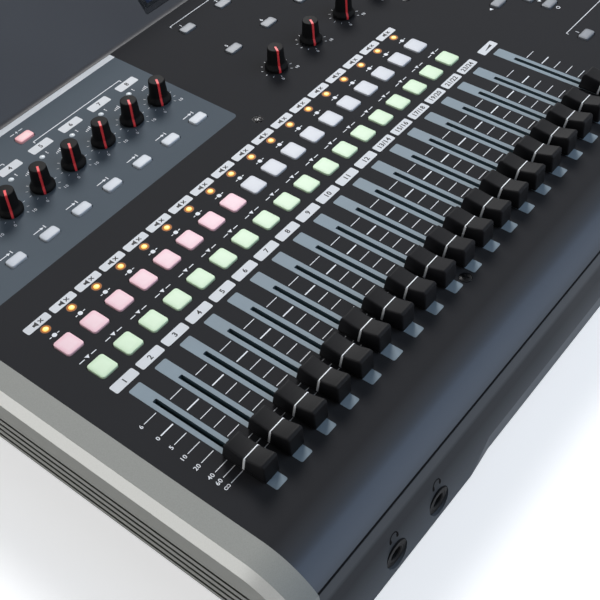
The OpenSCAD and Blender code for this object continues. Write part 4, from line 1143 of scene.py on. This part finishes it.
flange_screws = repeat(screw_head(1.5, 0.3, 0.3, 12, 40), [[-10.2, 12.6, -0.8], [10.2, -12.6, -0.8]])
make_piece("input_socket_flanges", facing(join([flange, rim, tab]), rear_way, combo_places), flange_plastic,
           case, "socket_black", ["combo_sockets"])
make_piece("input_socket_faces", facing(join([sunk_face, contact_holes]), rear_way, combo_places),
           socket_plastic, case, "socket_black")
make_piece("input_socket_metal", facing(join([contacts, flange_screws]), rear_way, combo_places), nickel,
           case, "plated_metal", sharp=50)
print(len(combo_places), "input sockets")

# %% Jacks and data sockets
jack_bush = spin(np.array([
    [0.05, -18], [3.3, -18], [3.3, -0.8], [3.7, -0.3], [4.5, -0.3], [4.7, -0.5], [4.7, -25], [0.05, -25]]))
jack_body = slab(rounded_rect(13.4, 13.4, 0.8), -25.0, -5.3)
jack_plastic = moulded("jack_plastic", (13, 13, 15), (18, 18, 20), 0.65, 0.2, 1400, 0.01)
nut_turn = full_turn(48)
nut_r = np.minimum(5.75 / np.cos((nut_turn + np.pi / 6) % (np.pi / 3) - np.pi / 6), 6.4)
nut_outline, washer, bush_edge = nut_r[:, None] * rays(nut_turn), disc(6.5, 48), disc(4.7, 48)
nut = join([window_slab(nut_outline, bush_edge, -2.7, -0.9), window_slab(washer, bush_edge, -3.25, -2.7)])
collar = window_slab(washer, bush_edge, -3.25, -0.25)
jack_black = [
    facing(join([jack_bush, jack_body]), rear_way, rear_jacks),
    facing(join([jack_bush, jack_body, collar]), front_way, front_jacks)]
make_piece("jack_barrels", join(jack_black), jack_plastic, case, "socket_black", ["line_jacks"])
make_piece("jack_nuts", facing(nut, rear_way, rear_jacks), nickel, case, "plated_metal")
data_collar = window_slab(disc(data_half, 48), disc(5.9, 48), -3.25, -0.1)
data_insert = slab(disc(5.6, 48), -14.0, -2.6)
data_shell = window_slab(disc(5.95, 48), disc(5.55, 48), -3.2, -0.5)
pin_turn = np.pi + np.arange(5) * np.pi / 4
pins = join([slab(disc(0.6, 12) + ray, -2.7, -2.4) for ray in 3.9 * rays(pin_turn)])
make_piece("data_socket_bodies", facing(join([data_collar, data_insert]), rear_way, data_places),
           flange_plastic, case, "socket_black", ["data_sockets"])
make_piece("data_socket_metal", facing(join([data_shell, pins]), rear_way, data_places), nickel,
           case, "plated_metal")
print(len(rear_jacks) + len(front_jacks), "jacks and", len(data_places), "data sockets")

# %% [markdown]
# A small sign over each front jack shows what it is for: the outline of a headphone, a band over two pads.
# It is dark ink on the leaning skirt, so it is drawn flat and then laid along the skirt's slope.

# %% Headphone signs
lean_angle = np.arctan(skirt_lean)
skirt_way = np.array([
    [1, 0, 0], [0, np.sin(lean_angle), np.cos(lean_angle)], [0, -np.cos(lean_angle), np.sin(lean_angle)]])
arch_ray = rays(np.linspace(0, np.pi, 24))
arch = slab(np.concatenate([2.6 * arch_ray, 2.0 * arch_ray[::-1]]), *ink)
ear_pads = [slab(rounded_rect(1.3, 2.4, 0.5, 4) + [x, -0.9], *ink) for x in (-2.3, 2.3)]
sign_up = 11.0
sign_z = front_jacks[:, 2] + sign_up
sign_y = front_edge_y + (sign_z - tray_foot) * skirt_lean
sign_places = np.column_stack([front_jacks[:, 0], sign_y, sign_z])
jack_ink = inked("jack_ink", (5, 5, 7), (9, 9, 11), 0.8, 0.05)
make_piece("headphone_signs", facing(join([arch] + ear_pads), skirt_way, sign_places), jack_ink,
           case, "tray_grey")
print(len(sign_places), "headphone signs at height", round(sign_z[0], 1))

# %% Print on the rear panel
rear_face = reach("rear_panel")[1][1]
rear_height = socket_row + 20.5
rear_print = [
    facing(glyphs(str(n + 1), 3.4, *ink), rear_way, [[x, rear_face, rear_height]])
    for row in (combo_places, rear_jacks, data_places) for n, x in enumerate(row[:, 0])]
for row, half in ((combo_places, combo_half), (rear_jacks, 7.0), (data_places, 7.0)):
    wide = np.ptp(row[:, 0]) + 2 * half
    end_x = wide / 2 - 0.25
    frame_line = join([bar(wide, 0.5, 0, 4.2), bar(0.5, 2.0, -end_x, 3.4), bar(0.5, 2.0, end_x, 3.4)])
    rear_print.append(facing(frame_line, rear_way, [[row[:, 0].mean(), rear_face, rear_height]]))
make_piece("rear_signs", join(rear_print), white_ink, case, "deck_black")
print("rear print at height", round(rear_height, 1))

# %% [markdown]
# ## Display
# The display lies on the slope behind a smoked window. Its face is a lit plate with a row of level bars
# and a few numbers, each a thin plate laid on the slope: a flat drawing is made first, then carried over by
# the two directions of the slope, across and up, and its normal.

# %% Display face
window_low, window_high = reach("display_window")
fold_line, ridge_line = 120.25, 155.0
slope = np.arctan2(reach("display_hood")[1][2] - deck, ridge_line - fold_line)
slope_up = np.array([0, np.cos(slope), np.sin(slope)])
slope_out = np.array([0, -np.sin(slope), np.cos(slope)])
window_middle = (window_low + window_high) / 2


def on_slope(shape, depth):
    """Flat drawing laid on the slope: window middle + x across + y up it + (z + depth) along its normal."""
    points, groups = shape
    basis = np.stack([[1, 0, 0], slope_up, slope_out])
    return window_middle + (points + [0, 0, depth]) @ basis, groups


def thickness(node):
    """Thickness t of a plate of length l on the slope: its box has dy = l cos + t sin and dz = l sin + t cos.
    So t is (dy sin - dz cos) / (sin^2 - cos^2)."""
    _, dy, dz = reach(node)[1] - reach(node)[0]
    return (dy * np.sin(slope) - dz * np.cos(slope)) / (np.sin(slope) ** 2 - np.cos(slope) ** 2)


module_front = (middle("display_module") - window_middle) @ slope_out + thickness("display_module") / 2
face_depth = module_front + 0.12
screen_back = lit_plastic("screen_back", (20, 32, 58), (28, 44, 76), 0.5, 0.4)
screen_lit = lit_plastic("screen_lit", (190, 220, 240), (214, 236, 250), 0.8, 0.4)
face = slab(rounded_rect(92.0, 40.0, 0.6, 3), -0.2, 0.0)
make_piece("screen_face", on_slope(face, face_depth), screen_back, case, "module", swell=np.zeros(len(face[0])))
lit_level, bar_count, bar_foot = (0.02, 0.1), 16, -17
bar_x = (np.arange(bar_count) - (bar_count - 1) / 2) * 5.2
bar_h = 6 + 9 * np.abs(np.sin(np.arange(bar_count) * 1.7))
bars = [slab(rounded_rect(3.4, h, 0.2, 2) + [x, h / 2 + bar_foot], *lit_level) for x, h in zip(bar_x, bar_h)]
counter = repeat(glyphs("00:12:34", 7.0, *lit_level), [[0, 11.0, 0]])
rules = [slab(rounded_rect(84, 0.4, 0.1, 2) + [0, y], *lit_level) for y in (4.5, -17.6)]
screen_marks = join(bars + rules + [counter])
make_piece("screen_marks", on_slope(screen_marks, face_depth), screen_lit, case, "module",
           swell=np.zeros(len(screen_marks[0])))
print(f"display slope {np.degrees(slope):.1f} degrees, module front at {module_front:.2f} from the window")

# %% [markdown]
# ## Stage
# The floor is plain and pale, and the world is a soft white room that is dimmer overhead. A broad lamp stands
# at the rear right, as the shadows of the knobs show. A cooler, weaker one fills from the front, where the
# roll reflects it, and a weak low one lights the left cheek. Camera, glossy and transmission rays see the
# white room, so metal and gloss show it too. The floor glows for them as well, and more so farther out.

# %% Floor and room
floor_mesh = bpy.data.meshes.new("floor")
floor_mesh.from_pydata([(-4, -4, 0), (4, -4, 0), (4, 4, 0), (-4, 4, 0)], [], [(0, 1, 2, 3)])
floor = add_object("floor", floor_mesh)
floor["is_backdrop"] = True
floor_paint = Nodes(bpy.data.materials.new("floor_paint"))
floor_paint.tree.nodes.remove(floor_paint.tree.nodes["Principled BSDF"])
matt = floor_paint.node("ShaderNodeBsdfDiffuse", Color=tone(236, 236, 237))
glow = floor_paint.node("ShaderNodeEmission")
both = floor_paint.node("ShaderNodeAddShader")
spread = floor_paint.node("ShaderNodeVectorMath", "LENGTH")
floor_paint.link(floor_paint.node("ShaderNodeTexCoord").outputs["Object"], spread.inputs[0])
whiter = floor_paint.remap(spread.outputs["Value"], 0.58, 1.0, 0.45, 1.5)
floor_paint.link(floor_paint.math("MULTIPLY", floor_paint.seen(), whiter), glow.inputs["Strength"])
floor_paint.link(matt.outputs[0], both.inputs[0])
floor_paint.link(glow.outputs[0], both.inputs[1])
floor_paint.link(both.outputs[0], floor_paint.tree.nodes["Material Output"].inputs["Surface"])
floor_mesh.materials.append(floor_paint.owner)

room = Nodes(bpy.data.worlds.new("room"))
scene.world = room.owner
soft = room.tree.nodes["Background"]
soft.inputs["Color"].default_value = (1.0, 1.0, 1.0, 1.0)
soft.inputs["Strength"].default_value = 0.1
shown = room.node("ShaderNodeBackground")
upright = room.node("ShaderNodeSeparateXYZ")
ceiling = room.node("ShaderNodeValToRGB")
wall, top = ceiling.color_ramp.elements
wall.position, wall.color = 0.3, (1, 1, 1, 1)
top.position, top.color = 0.75, (0.25, 0.25, 0.26, 1)
choose = room.node("ShaderNodeMixShader")
room.link(room.node("ShaderNodeTexCoord").outputs["Generated"], upright.inputs[0])
room.link(upright.outputs["Z"], ceiling.inputs["Fac"])
room.link(ceiling.outputs["Color"], shown.inputs["Color"])
for source, socket in zip((room.seen(), soft.outputs[0], shown.outputs[0]), choose.inputs):
    room.link(source, socket)
room.link(choose.outputs[0], room.tree.nodes["World Output"].inputs["Surface"])


# %% Lamps of the studio and the camera
def looking(place, aim):
    """Matrix of a lamp or camera at a place, turned to look at its aim with its top up."""
    return Matrix.Translation(place) @ (aim - place).to_track_quat("-Z", "Y").to_matrix().to_4x4()


def studio_lamp(name, toward, distance, size, power, colour=(1.0, 1.0, 1.0)):
    """An oblong area lamp at a distance along a direction from the deck's middle, turned to face it."""
    data = bpy.data.lights.new(name, "AREA")
    data.shape = "RECTANGLE"
    data.size, data.size_y = size
    data.energy, data.color = power, colour
    aim = Vector((0, 0, 0.05))
    add_object(name, data).matrix_world = looking(aim + Vector(toward).normalized() * distance, aim)


studio_lamp("key_lamp", (0.50, 0.51, 0.695), 2.6, (1.0, 1.0), 60.0)
studio_lamp("fill_lamp", (0.32, -0.72, 0.58), 1.1, (1.2, 1.0), 6.2, (0.62, 0.78, 1.0))
studio_lamp("side_lamp", (-0.85, 0.45, 0.25), 1.6, (1.4, 1.4), 8.0)

camera_place = Vector((-378.5, -283.6, 401.2)) * MM
camera_aim = Vector((-143.0, -78.5, deck)) * MM
camera_roll = np.radians(-3.93)
camera_data = bpy.data.cameras.new("camera")
camera_data.lens, camera_data.sensor_width = 65.0, 36.0
camera_data.clip_start = 0.01
camera = add_object("camera", camera_data)
camera.matrix_world = looking(camera_place, camera_aim) @ Matrix.Rotation(camera_roll, 4, "Z")
scene.camera = camera
scene.view_settings.view_transform = "Standard"

# %% Compare the boxes and finish
shown_box = [list(corner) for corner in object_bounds()]
for kind, box in (("solid", cad_box), ("dressed", shown_box)):
    print(kind, "box", np.round(np.array(box) / MM, 2).tolist())
